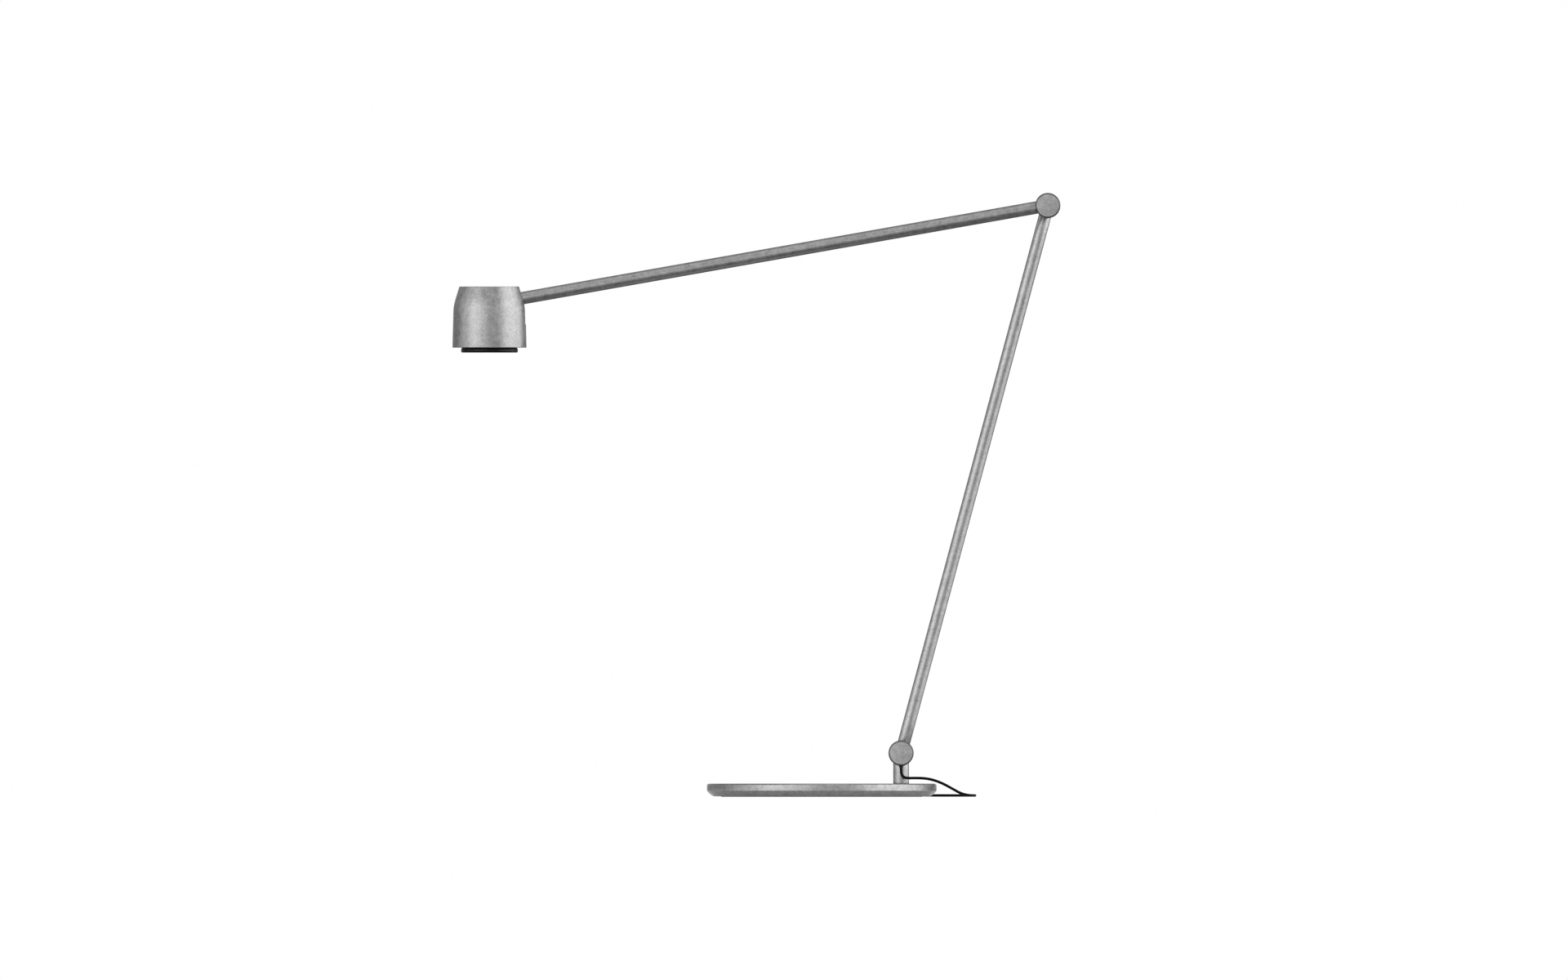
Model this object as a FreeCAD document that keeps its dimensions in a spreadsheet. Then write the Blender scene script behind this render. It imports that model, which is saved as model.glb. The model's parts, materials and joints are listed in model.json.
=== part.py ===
"""Two-arm desk lamp with friction hinges, as a parametric document. Millimetres, +Z up.

The origin is the middle of the base's underside. +X runs from the base's middle to the post,
-X to the head, and -Y is the side on which the upper arm and the head hang.
"""
import FreeCAD, Part

import math
import os

import Sketcher

# One row for each driving dimension: alias, value. Lengths in mm, angles in degrees.
DIMENSIONS = [
    # base
    ("base_radius", 109.0), ("base_height", 12.6), ("base_rim_drop", 7.2), ("base_step", 0.3),
    ("base_under_radius", 14.8), ("base_under_run", 10.8), ("base_lift", 0.45), ("base_edge_round", 0.8),
    ("base_step_up", 0.2), ("washer_flat_gap", 0.1), ("socket_share", 0.62),
    ("base_top_wall", 3.0), ("base_side_wall", 4.0), ("weight_thickness", 7.0), ("weight_gap", 1.0),
    ("pad_thickness", 2.2), ("pad_gap", 0.5), ("base_screw_circle", 70.0), ("base_screw_radius", 2.0),
    ("base_screw_head_radius", 3.8), ("base_screw_head_height", 2.2), ("base_screw_bite", 2.0),
    # post and its bolt
    ("post_offset", 75.3), ("post_radius", 7.5), ("post_rise", 28.9), ("post_bolt_radius", 2.5),
    ("post_bolt_offset", 3.5), ("post_bolt_bite", 6.6), ("bolt_head_radius", 4.25), ("bolt_head_height", 4.4),
    ("bolt_washer_radius", 5.5), ("bolt_washer_height", 1.0), ("dowel_radius", 1.5), ("dowel_length", 9.0),
    ("dowel_offset", 4.0), ("moving_clearance", 0.4),
    # hinges
    ("drum_radius", 12.0), ("drum_half_width", 15.0), ("joint_gap", 0.8), ("cap_thickness", 2.0),
    ("cap_edge_in", 1.4), ("cap_edge_deep", 3.4), ("cap_lip", 0.8), ("cap_lip_wall", 1.0),
    ("cavity_radius", 9.5), ("web_end", 6.6), ("axle_radius", 4.0), ("axle_bore_radius", 1.5),
    ("axle_head_radius", 6.5), ("axle_head_height", 2.0), ("axle_end", 9.6), ("nut_radius", 7.4),
    ("spring_thickness", 0.6), ("spring_cone", 0.6), ("spring_radius", 8.0), ("friction_radius", 11.4),
    ("running_clearance", 0.05), ("seat_clearance", 0.02), ("spigot_radius", 4.95), ("spigot_end", 24.0),
    ("wire_hole_radius", 1.7), ("wire_hole_offset", 10.0),
    ("root_gap", 0.1), ("wire_hole_gap", 2.0), ("ring_ease", 0.1), ("gland_hole_over", 2.0),
    # arms
    ("arm_pitch", 538.0), ("arm_offset", 7.7), ("tube_radius", 6.0), ("tube_wall", 1.0), ("cope_gap", 0.05),
    ("lower_lean", 15.0), ("upper_droop", 10.0), ("grub_radius", 1.5), ("grub_length", 3.6),
    ("grub_along", 18.0), ("grub_shift", 1.1), ("lead_radius", 0.7), ("lead_offset", 10.6),
    ("lead_bend", 2.2), ("grub_sink", 0.3), ("lead_gap", 0.1), ("lead_short", 1.0),
    # head, measured from the tilt pivot
    ("head_top_radius", 28.7), ("head_top_rise", 16.6), ("head_break_radius", 34.2), ("head_break_drop", 1.2),
    ("head_mouth_radius", 35.2), ("head_mouth_drop", 41.5), ("head_wall", 1.6), ("head_edge_round", 0.5),
    ("tilt_up", 25.0), ("tilt_down", 30.0), ("eye_radius", 6.5), ("eye_half_width", 5.0),
    ("eye_half_thickness", 3.0), ("eye_shoulder", 1.5), ("arm_stop", 20.0), ("pivot_radius", 2.0),
    ("pivot_head_radius", 3.5), ("pivot_head_height", 2.2), ("ear_gap", 0.3), ("ear_thickness", 2.2),
    ("ear_half_width", 6.0), ("yoke_base_thickness", 2.5), ("yoke_half_length", 9.0),
    ("yoke_half_width", 8.0), ("yoke_screw_offset", 5.6), ("sink_top_drop", 20.0), ("sink_base_thickness", 3.0),
    ("sink_bottom_drop", 34.0), ("sink_radius", 30.0), ("fin_pitch", 4.6), ("fin_thickness", 1.2),
    ("boss_radius", 9.5), ("sink_leg_radius", 2.6), ("sink_leg_circle", 30.6), ("board_radius", 21.0),
    ("board_thickness", 1.6), ("chip_size", 2.6), ("chip_height", 0.7), ("chip_circle", 6.2),
    ("plate_thickness", 2.0), ("plate_recess", 0.2), ("plate_bore", 26.4), ("small_screw_radius", 1.25),
    ("small_screw_head_radius", 2.3), ("small_screw_head_height", 1.4), ("small_screw_length", 6.0),
    ("reflector_throat", 10.0), ("reflector_wall", 1.5), ("reflector_radius", 24.5), ("lens_lip", 0.85),
    ("lens_thickness", 1.8), ("lens_depth", 2.0), ("driver_offset", 16.0), ("driver_half_width", 11.0),
    ("driver_height", 28.0), ("driver_thickness", 1.6), ("head_corner_share", 0.7), ("slot_reach", 5.0),
    ("washer_inset", 0.2), ("reflector_lip", 0.6), ("reflector_band", 1.4), ("lens_ledge", 1.0),
    # dimmer ring
    ("ring_radius", 27.1), ("ring_inner", 24.9), ("ring_bottom_drop", 46.2), ("ring_neck_radius", 26.1),
    ("ring_neck_drop", 38.0), ("ring_groove_deep", 0.35), ("ring_groove_high", 0.6), ("retainer_radius", 27.5),
    ("retainer_thickness", 0.8), ("ring_play", 0.2), ("ring_edge_round", 0.3),
    # cord and plug
    ("cord_radius", 1.3), ("gland_radius", 1.9), ("gland_offset", 10.4), ("gland_proud", 1.5),
    ("gland_end", 9.6), ("clamp_radius", 1.75), ("clamp_length", 1.6), ("coil_x", 60.0), ("coil_gap", 12.0),
    ("coil_inner", 9.8), ("coil_outer", 20.2), ("coil_height", 10.4), ("tie_width", 6.0),
    ("tie_thickness", 0.8), ("plug_x", 20.5), ("plug_gap", 7.0), ("plug_radius", 5.0), ("plug_length", 22.0),
    ("plug_relief_length", 10.0), ("plug_relief_radius", 2.3), ("barrel_radius", 2.75), ("barrel_wall", 0.4),
    ("barrel_length", 9.5), ("barrel_seat", 3.0), ("barrel_bore", 1.05), ("barrel_root_radius", 3.4),
    ("insulator_web", 1.0), ("relief_shoulder", 0.8), ("plug_lift", 0.05), ("inner_end_over", 1.0),
]

BASE_SCREWS = 4
FINS = 11
SINK_LEGS = 3
CHIPS_ROUND = 6

# The cord's route from the gland to its coil: points chosen by hand, and the share of a change in the
# base's radius that moves each one outwards from the base's middle.
CORD_RUN = [
    (75.3, -10.4, 28.0, 0), (75.3, -10.4, 23.8, 0), (77.2, -10.5, 20.0, 0), (81.3, -10.7, 18.3, 0),
    (88.5, -10.9, 18.0, 0.15), (97.5, -10.6, 18.4, 0.4), (106.5, -9.6, 18.0, 0.7), (115.5, -7.8, 15.4, 0.9),
    (124.0, -5.0, 10.6, 1), (131.8, -1.0, 5.4, 1), (139.0, 4.6, 2.0, 1), (144.0, 12.6, 1.4, 1),
    (145.9, 24.0, 1.35, 1), (144.6, 39.0, 1.35, 1), (139.0, 55.5, 1.35, 1), (129.5, 70.5, 1.35, 1),
    (116.5, 83.5, 1.35, 1), (101.5, 93.5, 1.5, 1),
]
# Its last points, on the floor and onto the coil, and the run from the coil to the plug. They move with the coil.
CORD_TO_COIL = [(85.5, 100.0, 2.0), (76.5, 102.2, 2.15), (68.2, 102.5, 2.15)]
CORD_END = [
    (51.7, 102.6, 9.6), (44.0, 104.6, 9.2), (36.8, 109.4, 7.8), (29.4, 113.9, 5.9), (20.9, 116.0, 5.05),
]
# The base's radius and the height of the gland's mouth that the route was drawn for, and the share of a
# change in that height that moves each of its first points.
ROUTE_BASE_RADIUS = 109.0
ROUTE_EXIT_HEIGHT = 28.0
ROUTE_EXIT_SHARES = (1.0, 1.0, 0.5)

DOC = FreeCAD.newDocument("desk_lamp")
PIECES = []


class Size:
    """A length or angle: its value now, and the expression that ties it to the sheet."""

    def __init__(self, value, text=None):
        self.value = float(value)
        self.text = text or repr(float(value))

    @staticmethod
    def of(other):
        return other if isinstance(other, Size) else Size(other)

    def __add__(self, other):
        other = Size.of(other)
        return Size(self.value + other.value, f"({self.text} + {other.text})")

    def __sub__(self, other):
        other = Size.of(other)
        return Size(self.value - other.value, f"({self.text} - {other.text})")

    def __mul__(self, other):
        other = Size.of(other)
        return Size(self.value * other.value, f"({self.text} * {other.text})")

    def __truediv__(self, other):
        other = Size.of(other)
        return Size(self.value / other.value, f"({self.text} / {other.text})")

    def __neg__(self):
        return Size(0) - self

    __radd__ = __add__
    __rmul__ = __mul__

    def __rsub__(self, other):
        return Size.of(other) - self


def sine(angle):
    return Size(math.sin(math.radians(angle.value)), f"sin({angle.text})")


def cosine(angle):
    return Size(math.cos(math.radians(angle.value)), f"cos({angle.text})")


def root(square):
    return Size(math.sqrt(square.value), f"sqrt({square.text})")


def make_sheet():
    """Put the driving dimensions in the sheet and return them by alias."""
    sheet = DOC.addObject("Spreadsheet::Sheet", "dims")
    sizes = {}
    for row, (alias, value) in enumerate(DIMENSIONS, start=1):
        sheet.set(f"A{row}", alias)
        sheet.set(f"B{row}", str(value))
        sheet.setAlias(f"B{row}", alias)
        sizes[alias] = Size(value, f"dims.{alias}")
    DOC.recompute()
    return sizes


class Named:
    """The sheet's sizes as attributes."""

    def __init__(self, sizes):
        self.__dict__.update(sizes)


d = Named(make_sheet())


# ---------------------------------------------------------------- placing and shaping

TURN_TO = {
    "X": FreeCAD.Rotation(FreeCAD.Vector(0, 1, 0), 90),
    "Y": FreeCAD.Rotation(FreeCAD.Vector(1, 0, 0), -90),
    "Z": FreeCAD.Rotation(),
}


def bind(obj, path, size):
    obj.setExpression(path, Size.of(size).text)


def move(obj, at, rotation=FreeCAD.Rotation()):
    """Put obj at three sizes, turned by a fixed rotation."""
    obj.Placement = FreeCAD.Placement(FreeCAD.Vector(*[Size.of(v).value for v in at]), rotation)
    for axis, size in zip("xyz", at):
        if Size.of(size).text != repr(0.0):
            bind(obj, f"Placement.Base.{axis}", size)
    return obj


class Frame:
    """A place and a lean about the Y axis that a piece is built in; sense is the way it leans."""

    def __init__(self, x, y, z, lean=None, sense=1):
        self.at = (x, y, z)
        self.lean = lean
        self.sense = sense

    def seat(self, obj):
        rotation = FreeCAD.Rotation()
        if self.lean is not None:
            rotation = FreeCAD.Rotation(FreeCAD.Vector(0, self.sense, 0), self.lean.value)
        move(obj, self.at, rotation)
        if self.lean is not None:
            bind(obj, "Placement.Rotation.Angle", self.lean)


def piece(label, obj, frame):
    """Name a finished sub-part and seat it in its frame. A bare primitive keeps its own place inside it."""
    if obj.TypeId in ("Part::Cylinder", "Part::Box"):
        obj = group([obj])
    obj.Label = label
    frame.seat(obj)
    PIECES.append(obj)
    return obj


def cylinder(radius, height, at=(0, 0, 0), along="Z"):
    obj = DOC.addObject("Part::Cylinder", "cylinder")
    bind(obj, "Radius", radius)
    bind(obj, "Height", height)
    return move(obj, at, TURN_TO[along])


def box(length, width, height, at):
    """A box with its lowest corner at the given place."""
    obj = DOC.addObject("Part::Box", "box")
    bind(obj, "Length", length)
    bind(obj, "Width", width)
    bind(obj, "Height", height)
    return move(obj, at)


def fuse(*parts):
    obj = DOC.addObject("Part::MultiFuse", "fuse")
    obj.Shapes = list(parts)
    return obj


def group(parts):
    """Separate solids that share one node."""
    obj = DOC.addObject("Part::Compound", "group")
    obj.Links = list(parts)
    return obj


def cut(base, *tools):
    obj = DOC.addObject("Part::Cut", "cut")
    obj.Base = base
    obj.Tool = tools[0] if len(tools) == 1 else fuse(*tools)
    return obj


def barrel(radius, near, far, side):
    """A cylinder about Y between two distances from the hinge's middle plane, on one side of it."""
    start = near if side > 0 else -Size.of(far)
    return cylinder(radius, Size.of(far) - near, (0, start, 0), "Y")


def ring_about_z(outer, inner, bottom, top):
    shell = cylinder(outer, top - bottom, (0, 0, bottom))
    return cut(shell, cylinder(inner, top - bottom, (0, 0, bottom)))


# ---------------------------------------------------------------- turned pieces

def origin_plane(body, role):
    return next(item for item in body.Origin.OriginFeatures if item.Role == role)


def sketch_outline(body, plane, outline):
    """A closed outline of (x, y) or (x, y, bend) points in a sketch on one of the body's planes.

    bend is the radius of the arc that leads to the next point, positive where it curves left.
    """
    sketch = body.newObject("Sketcher::SketchObject", "outline")
    sketch.AttachmentSupport = [(origin_plane(body, plane), "")]
    sketch.MapMode = "FlatFace"
    points = [tuple(Size.of(v) for v in point) for point in outline]
    ends = []
    for index, point in enumerate(points):
        nxt = points[(index + 1) % len(points)]
        a = FreeCAD.Vector(point[0].value, point[1].value, 0)
        b = FreeCAD.Vector(nxt[0].value, nxt[1].value, 0)
        if len(point) == 2:
            sketch.addGeometry(Part.LineSegment(a, b), False)
            ends.append((1, 2))
            continue
        radius = abs(point[2].value)
        left = 1 if point[2].value > 0 else -1
        half = (b - a) * 0.5
        reach = math.sqrt(radius ** 2 - half.Length ** 2)
        side = FreeCAD.Vector(-half.y, half.x, 0).normalize()
        centre = a + half + side * (left * reach)
        first, last = (a, b) if left > 0 else (b, a)
        angles = [math.atan2(v.y - centre.y, v.x - centre.x) for v in (first, last)]
        circle = Part.Circle(centre, FreeCAD.Vector(0, 0, 1), radius)
        sketch.addGeometry(Part.ArcOfCircle(circle, *angles), False)
        ends.append((1, 2) if left > 0 else (2, 1))
        row = sketch.addConstraint(Sketcher.Constraint("Radius", index, radius))
        sketch.setExpression(f"Constraints[{row}]", (point[2] * left).text)
    for index, (start, _) in enumerate(ends):
        last = ends[index - 1][1]
        before = (index - 1) % len(points)
        sketch.addConstraint(Sketcher.Constraint("Coincident", before, last, index, start))
        for kind, size in zip(("DistanceX", "DistanceY"), points[index]):
            row = sketch.addConstraint(Sketcher.Constraint(kind, -1, 1, index, start, size.value))
            sketch.setExpression(f"Constraints[{row}]", size.text)
    return sketch


def turned(outline, about="Z"):
    """A body turned about Z or Y from an outline of (radius, place along the axis) points."""
    body = DOC.addObject("PartDesign::Body", "turned")
    sketch = sketch_outline(body, "XZ_Plane" if about == "Z" else "XY_Plane", outline)
    turn = body.newObject("PartDesign::Revolution", "turn")
    turn.Profile = sketch
    turn.ReferenceAxis = (sketch, ["V_Axis"])
    turn.Angle = 360
    DOC.recompute()
    return body


def circle_edge(shape, radius, height):
    """The name of the round edge of this radius at this height."""
    for number, edge in enumerate(shape.Edges, start=1):
        curve = edge.Curve
        if not isinstance(curve, Part.Circle) or abs(curve.Radius - radius.value) > 1e-3:
            continue
        if abs(curve.Center.z - height.value) < 1e-3:
            return f"Edge{number}"
    raise ValueError("no such edge")


def round_over(body, radius, edges):
    """Fillet the body's round edges, given as (radius, height) pairs."""
    base = body.Tip
    fillet = body.newObject("PartDesign::Fillet", "round_over")
    fillet.Base = (base, [circle_edge(base.Shape, Size.of(r), Size.of(z)) for r, z in edges])
    bind(fillet, "Radius", radius)
    DOC.recompute()


def pocket_through(body, plane, outline, width):
    """Cut an outline through the body, to both sides of an origin plane."""
    before = body.Shape.Volume
    sketch = sketch_outline(body, plane, outline)
    pocket = body.newObject("PartDesign::Pocket", "pocket")
    pocket.Profile = sketch
    pocket.Midplane = True
    bind(pocket, "Length", width)
    DOC.recompute()
    if body.Shape.Volume >= before:
        raise ValueError("the pocket cut nothing")


# ---------------------------------------------------------------- paths

def rounded_path(points, bend=None):
    """Straight runs joined by tangent arcs. Without a bend each arc is as large as its runs allow."""
    points = [FreeCAD.Vector(*point) for point in points]
    edges, start, radii = [], points[0], []
    for before, corner, after in zip(points, points[1:], points[2:]):
        back, on = (before - corner), (after - corner)
        half_turn = (math.pi - back.getAngle(on)) / 2
        setback = 0.45 * min(back.Length, on.Length)
        if bend is not None:
            setback = bend * math.tan(half_turn)
        radius = setback / math.tan(half_turn)
        radii.append(radius)
        back.normalize()
        on.normalize()
        enter, leave = corner + back * setback, corner + on * setback
        to_centre = (back + on).normalize() * (radius / math.cos(half_turn))
        middle = corner + to_centre - (back + on).normalize() * radius
        edges += [Part.LineSegment(start, enter).toShape(), Part.Arc(enter, middle, leave).toShape()]
        start = leave
    edges.append(Part.LineSegment(start, points[-1]).toShape())
    return Part.Wire(edges), radii


def sweep_round(label, points, radius, frame, bend=None):
    """A round tube along a path, as a sweep of a circle that follows the sheet."""
    wire, radii = rounded_path(points, bend)
    spine = DOC.addObject("Part::Feature", "spine")
    spine.Shape = wire
    profile = DOC.addObject("Part::Circle", "section")
    bind(profile, "Radius", radius)
    start = FreeCAD.Vector(*points[0])
    along = FreeCAD.Vector(*points[1]) - start
    profile.Placement = FreeCAD.Placement(start, FreeCAD.Rotation(FreeCAD.Vector(0, 0, 1), along))
    sweep = DOC.addObject("Part::Sweep", "sweep")
    sweep.Sections = [profile]
    sweep.Spine = (spine, [f"Edge{i + 1}" for i in range(len(wire.Edges))])
    sweep.Solid = True
    sweep.Frenet = False
    DOC.recompute()
    expected = math.pi * radius.value ** 2 * wire.Length
    print(f"{label}: length {wire.Length:.1f} mm, volume {sweep.Shape.Volume / expected:.4f} of section x"
          f" length, radii {min(radii):.1f} to {max(radii):.1f} mm:",
          " ".join(f"{r:.1f}" for r in radii))
    return piece(label, sweep, frame)


# ---------------------------------------------------------------- frames

hinge_height = d.base_height + d.post_rise
elbow_x = d.post_offset + d.arm_pitch * sine(d.lower_lean)
elbow_z = hinge_height + d.arm_pitch * cosine(d.lower_lean)
head_x = elbow_x - d.arm_pitch * cosine(d.upper_droop)
head_z = elbow_z - d.arm_pitch * sine(d.upper_droop)

WORLD = Frame(0, 0, 0)
POST_TOP = Frame(d.post_offset, 0, hinge_height)
LOWER_ARM = Frame(d.post_offset, 0, hinge_height, d.lower_lean)
LOWER_ARM_END = Frame(elbow_x, 0, elbow_z, d.lower_lean)
UPPER_ARM = Frame(elbow_x, 0, elbow_z, 90 + d.upper_droop, sense=-1)
HEAD = Frame(head_x, -d.arm_offset, head_z)

cap_seat = d.drum_half_width - d.cap_thickness
half_gap = d.joint_gap / 2
tube_bore = d.tube_radius - d.tube_wall


# ---------------------------------------------------------------- base and post

def screw(radius, length, head_radius, head_height, at, up=True):
    """A cap screw along Z: its shank starts at the place given and its head lies before it."""
    x, y, z = at
    shank_z = z if up else z - length
    head_z = z - head_height if up else z
    socket_z = head_z if up else z + head_height / 2
    socket = DOC.addObject("Part::Prism", "socket")
    socket.Polygon = 6
    bind(socket, "Circumradius", radius * d.socket_share)
    bind(socket, "Height", head_height / 2)
    move(socket, (x, y, socket_z))
    solid = fuse(cylinder(radius, length, (x, y, shank_z)), cylinder(head_radius, head_height, (x, y, head_z)))
    return cut(solid, socket)


def on_circle(count, circle, start=0.0):
    """The (x, y) places of count points round a circle."""
    for index in range(count):
        angle = Size(start + 360.0 * index / count)
        yield circle * cosine(angle), circle * sine(angle)


def make_base():
    rim_bottom = d.base_height - d.base_rim_drop
    under_radius = d.base_radius - d.base_step
    flat_radius = under_radius - d.base_under_run
    ceiling = d.base_height - d.base_top_wall
    recess_radius = flat_radius - d.base_side_wall / 2
    outline = [
        (0, ceiling), (recess_radius, ceiling), (recess_radius, d.base_lift),
        (flat_radius, d.base_lift, d.base_under_radius), (under_radius, rim_bottom - d.base_step_up),
        (under_radius, rim_bottom), (d.base_radius, rim_bottom), (d.base_radius, d.base_height),
        (0, d.base_height),
    ]
    shell = turned(outline)
    round_over(shell, d.base_edge_round, [(d.base_radius, d.base_height)])
    screw_hole = d.base_screw_radius + d.seat_clearance
    holes = [cylinder(screw_hole, d.base_screw_bite + d.seat_clearance, (x, y, ceiling))
             for x, y in on_circle(BASE_SCREWS, d.base_screw_circle, 45.0)]
    bolt_hole = d.post_bolt_radius + d.seat_clearance
    holes.append(cylinder(bolt_hole, d.base_height, (d.post_offset, -d.post_bolt_offset, 0)))
    dowel_hole = d.dowel_radius + d.seat_clearance
    holes.append(cylinder(dowel_hole, d.base_height, (d.post_offset, d.dowel_offset, 0)))
    piece("base_shell", cut(shell, *holes), WORLD)

    weight_radius = recess_radius - d.weight_gap
    weight_bottom = ceiling - d.weight_thickness
    tools = []
    for x, y in on_circle(BASE_SCREWS, d.base_screw_circle, 45.0):
        tools.append(cylinder(screw_hole, d.weight_thickness, (x, y, weight_bottom)))
        tools.append(cylinder(d.base_screw_head_radius + d.running_clearance,
                              d.base_screw_head_height + d.seat_clearance, (x, y, weight_bottom)))
    bolt_room = d.bolt_washer_radius + d.post_bolt_offset + d.moving_clearance
    tools.append(cylinder(bolt_room, d.weight_thickness, (d.post_offset, 0, weight_bottom)))
    piece("base_weight", cut(cylinder(weight_radius, d.weight_thickness, (0, 0, weight_bottom)), *tools), WORLD)

    head_top = weight_bottom + d.base_screw_head_height
    shank = ceiling + d.base_screw_bite - head_top
    screws = [screw(d.base_screw_radius, shank, d.base_screw_head_radius, d.base_screw_head_height,
                    (x, y, head_top))
              for x, y in on_circle(BASE_SCREWS, d.base_screw_circle, 45.0)]
    piece("base_screws", group(screws), WORLD)

    pad = turned([(0, 0), (recess_radius - d.pad_gap, 0), (recess_radius - d.pad_gap, d.pad_thickness),
                  (0, d.pad_thickness)])
    piece("base_pad", pad, WORLD)


def make_post():
    """The post, its bolt from under the base, and the dowel that keeps it from turning."""
    ceiling = d.base_height - d.base_top_wall
    bolt_y = -d.post_bolt_offset
    stock = cylinder(d.post_radius, d.post_rise, (0, 0, -d.post_rise))
    saddle = barrel(d.drum_radius + d.running_clearance, -half_gap, d.drum_half_width, -1)
    relief = barrel(d.drum_radius + d.moving_clearance, -half_gap, d.drum_half_width, 1)
    bolt_hole = cylinder(d.post_bolt_radius + d.seat_clearance, d.post_rise, (0, bolt_y, -d.post_rise))
    dowel_top = d.dowel_length - d.base_top_wall
    dowel_hole = cylinder(d.dowel_radius + d.seat_clearance, dowel_top, (0, d.dowel_offset, -d.post_rise))
    piece("post", cut(stock, saddle, relief, bolt_hole, dowel_hole), POST_TOP)

    bolt_top = hinge_height - d.drum_radius + d.post_bolt_bite
    under_head = ceiling - d.bolt_washer_height
    bolt = screw(d.post_bolt_radius, bolt_top - under_head, d.bolt_head_radius, d.bolt_head_height,
                 (0, 0, under_head))
    bolt_frame = Frame(d.post_offset, bolt_y, 0)
    piece("post_bolt", bolt, bolt_frame)
    washer = cylinder(d.bolt_washer_radius - d.running_clearance, d.bolt_washer_height, (0, 0, under_head))
    washer_bore = cylinder(d.post_bolt_radius + d.seat_clearance, d.bolt_washer_height, (0, 0, under_head))
    flat = box(d.bolt_washer_radius * 2, d.bolt_washer_radius, d.bolt_washer_height,
               (-d.bolt_washer_radius, d.dowel_offset - d.dowel_radius + d.post_bolt_offset - d.washer_flat_gap,
                under_head))
    piece("post_washer", cut(washer, washer_bore, flat), bolt_frame)
    dowel = cylinder(d.dowel_radius, d.dowel_length, (0, 0, ceiling))
    piece("post_dowel", dowel, Frame(d.post_offset, d.dowel_offset, 0))


# ---------------------------------------------------------------- hinges

def edge_radius_at_seat():
    """The drum's radius where the cap sits on it, on the long edge cone that cap and knuckle share."""
    return d.drum_radius - d.cap_edge_in * (d.cap_edge_deep - d.cap_thickness) / d.cap_edge_deep


def make_knuckle(label, side, frame, spigot=0, extra=()):
    """One half of a hinge drum. spigot is +1 or -1 where it carries a tube along its frame's Z."""
    cone_start = d.drum_half_width - d.cap_edge_deep
    profile = [(0, half_gap), (d.drum_radius, half_gap), (d.drum_radius, cone_start),
               (edge_radius_at_seat(), cap_seat), (0, cap_seat)]
    parts = [turned([(r, y * side) for r, y in profile], about="Y")]
    tools = [barrel(d.cavity_radius, d.web_end, cap_seat, side),
             barrel(d.axle_radius + d.running_clearance, half_gap, d.web_end, side)]
    if spigot:
        root_at = d.cavity_radius + d.root_gap
        length = d.spigot_end - root_at
        start = root_at if spigot > 0 else -d.spigot_end
        parts.append(cylinder(d.spigot_radius, length, (0, side * d.arm_offset, start)))
        hole_start = d.axle_radius + d.wire_hole_gap
        hole_length = d.spigot_end - hole_start
        hole_z = hole_start if spigot > 0 else -d.spigot_end
        tools.append(cylinder(d.wire_hole_radius, hole_length, (0, side * d.wire_hole_offset, hole_z)))
        tools.append(grub(side, spigot, d.seat_clearance))
    drum = fuse(*parts) if len(parts) > 1 else parts[0]
    return piece(label, cut(drum, *tools, *extra), frame)


def grub(x_side, spigot, grow=0.0):
    """A set screw across the tube wall into the spigot; grown, it is the hole for it."""
    radius = d.grub_radius + grow
    flush = d.tube_radius - d.grub_sink
    start = flush - d.grub_length if x_side > 0 else -flush
    along = d.grub_along if spigot > 0 else -d.grub_along
    # The rear tube lies at +Y and the front one at -Y; both screws sit towards the middle plane.
    y = (d.arm_offset - d.grub_shift) * x_side
    return cylinder(radius, d.grub_length + grow, (start, y, along), "X")


def make_cap(label, side, frame):
    inner = cap_seat - d.cap_lip
    lip = d.cavity_radius - d.running_clearance
    face = d.drum_half_width
    outline = [
        (0, cap_seat), (lip - d.cap_lip_wall, cap_seat), (lip - d.cap_lip_wall, inner), (lip, inner),
        (lip, cap_seat), (edge_radius_at_seat(), cap_seat), (d.drum_radius - d.cap_edge_in, face), (0, face),
    ]
    piece(label, turned([(r, y * side) for r, y in outline], about="Y"), frame)


def make_axle_set(prefix, frame):
    """The hollow axle, its nut and disc spring in the front cavity, and the friction washer."""
    web = d.web_end + d.seat_clearance
    axle = [
        (d.axle_bore_radius, -d.axle_end), (d.axle_radius, -d.axle_end), (d.axle_radius, web),
        (d.axle_head_radius, web), (d.axle_head_radius, web + d.axle_head_height),
        (d.axle_bore_radius, web + d.axle_head_height),
    ]
    piece(f"{prefix}_axle", turned(axle, about="Y"), frame)
    bore = d.axle_radius + d.seat_clearance
    spring_in = web + d.spring_cone
    spring = [
        (d.spring_radius, -web), (d.spring_radius, -(web + d.spring_thickness)),
        (bore + d.ring_ease, -(spring_in + d.spring_thickness)), (bore + d.ring_ease, -spring_in),
    ]
    piece(f"{prefix}_disc_spring", turned(spring, about="Y"), frame)
    nut_start = spring_in + d.spring_thickness + d.seat_clearance
    nut = DOC.addObject("Part::Prism", "nut")
    nut.Polygon = 6
    bind(nut, "Circumradius", d.nut_radius)
    bind(nut, "Height", d.axle_end - nut_start)
    move(nut, (0, -d.axle_end, 0), TURN_TO["Y"])
    piece(f"{prefix}_axle_nut", cut(nut, barrel(bore, nut_start, d.axle_end, -1)), frame)
    washer_half = half_gap - d.seat_clearance
    washer = [
        (bore + d.ring_ease, -washer_half), (d.friction_radius, -washer_half), (d.friction_radius, washer_half),
        (bore + d.ring_ease, washer_half),
    ]
    piece(f"{prefix}_friction_washer", turned(washer, about="Y"), frame)


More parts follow.
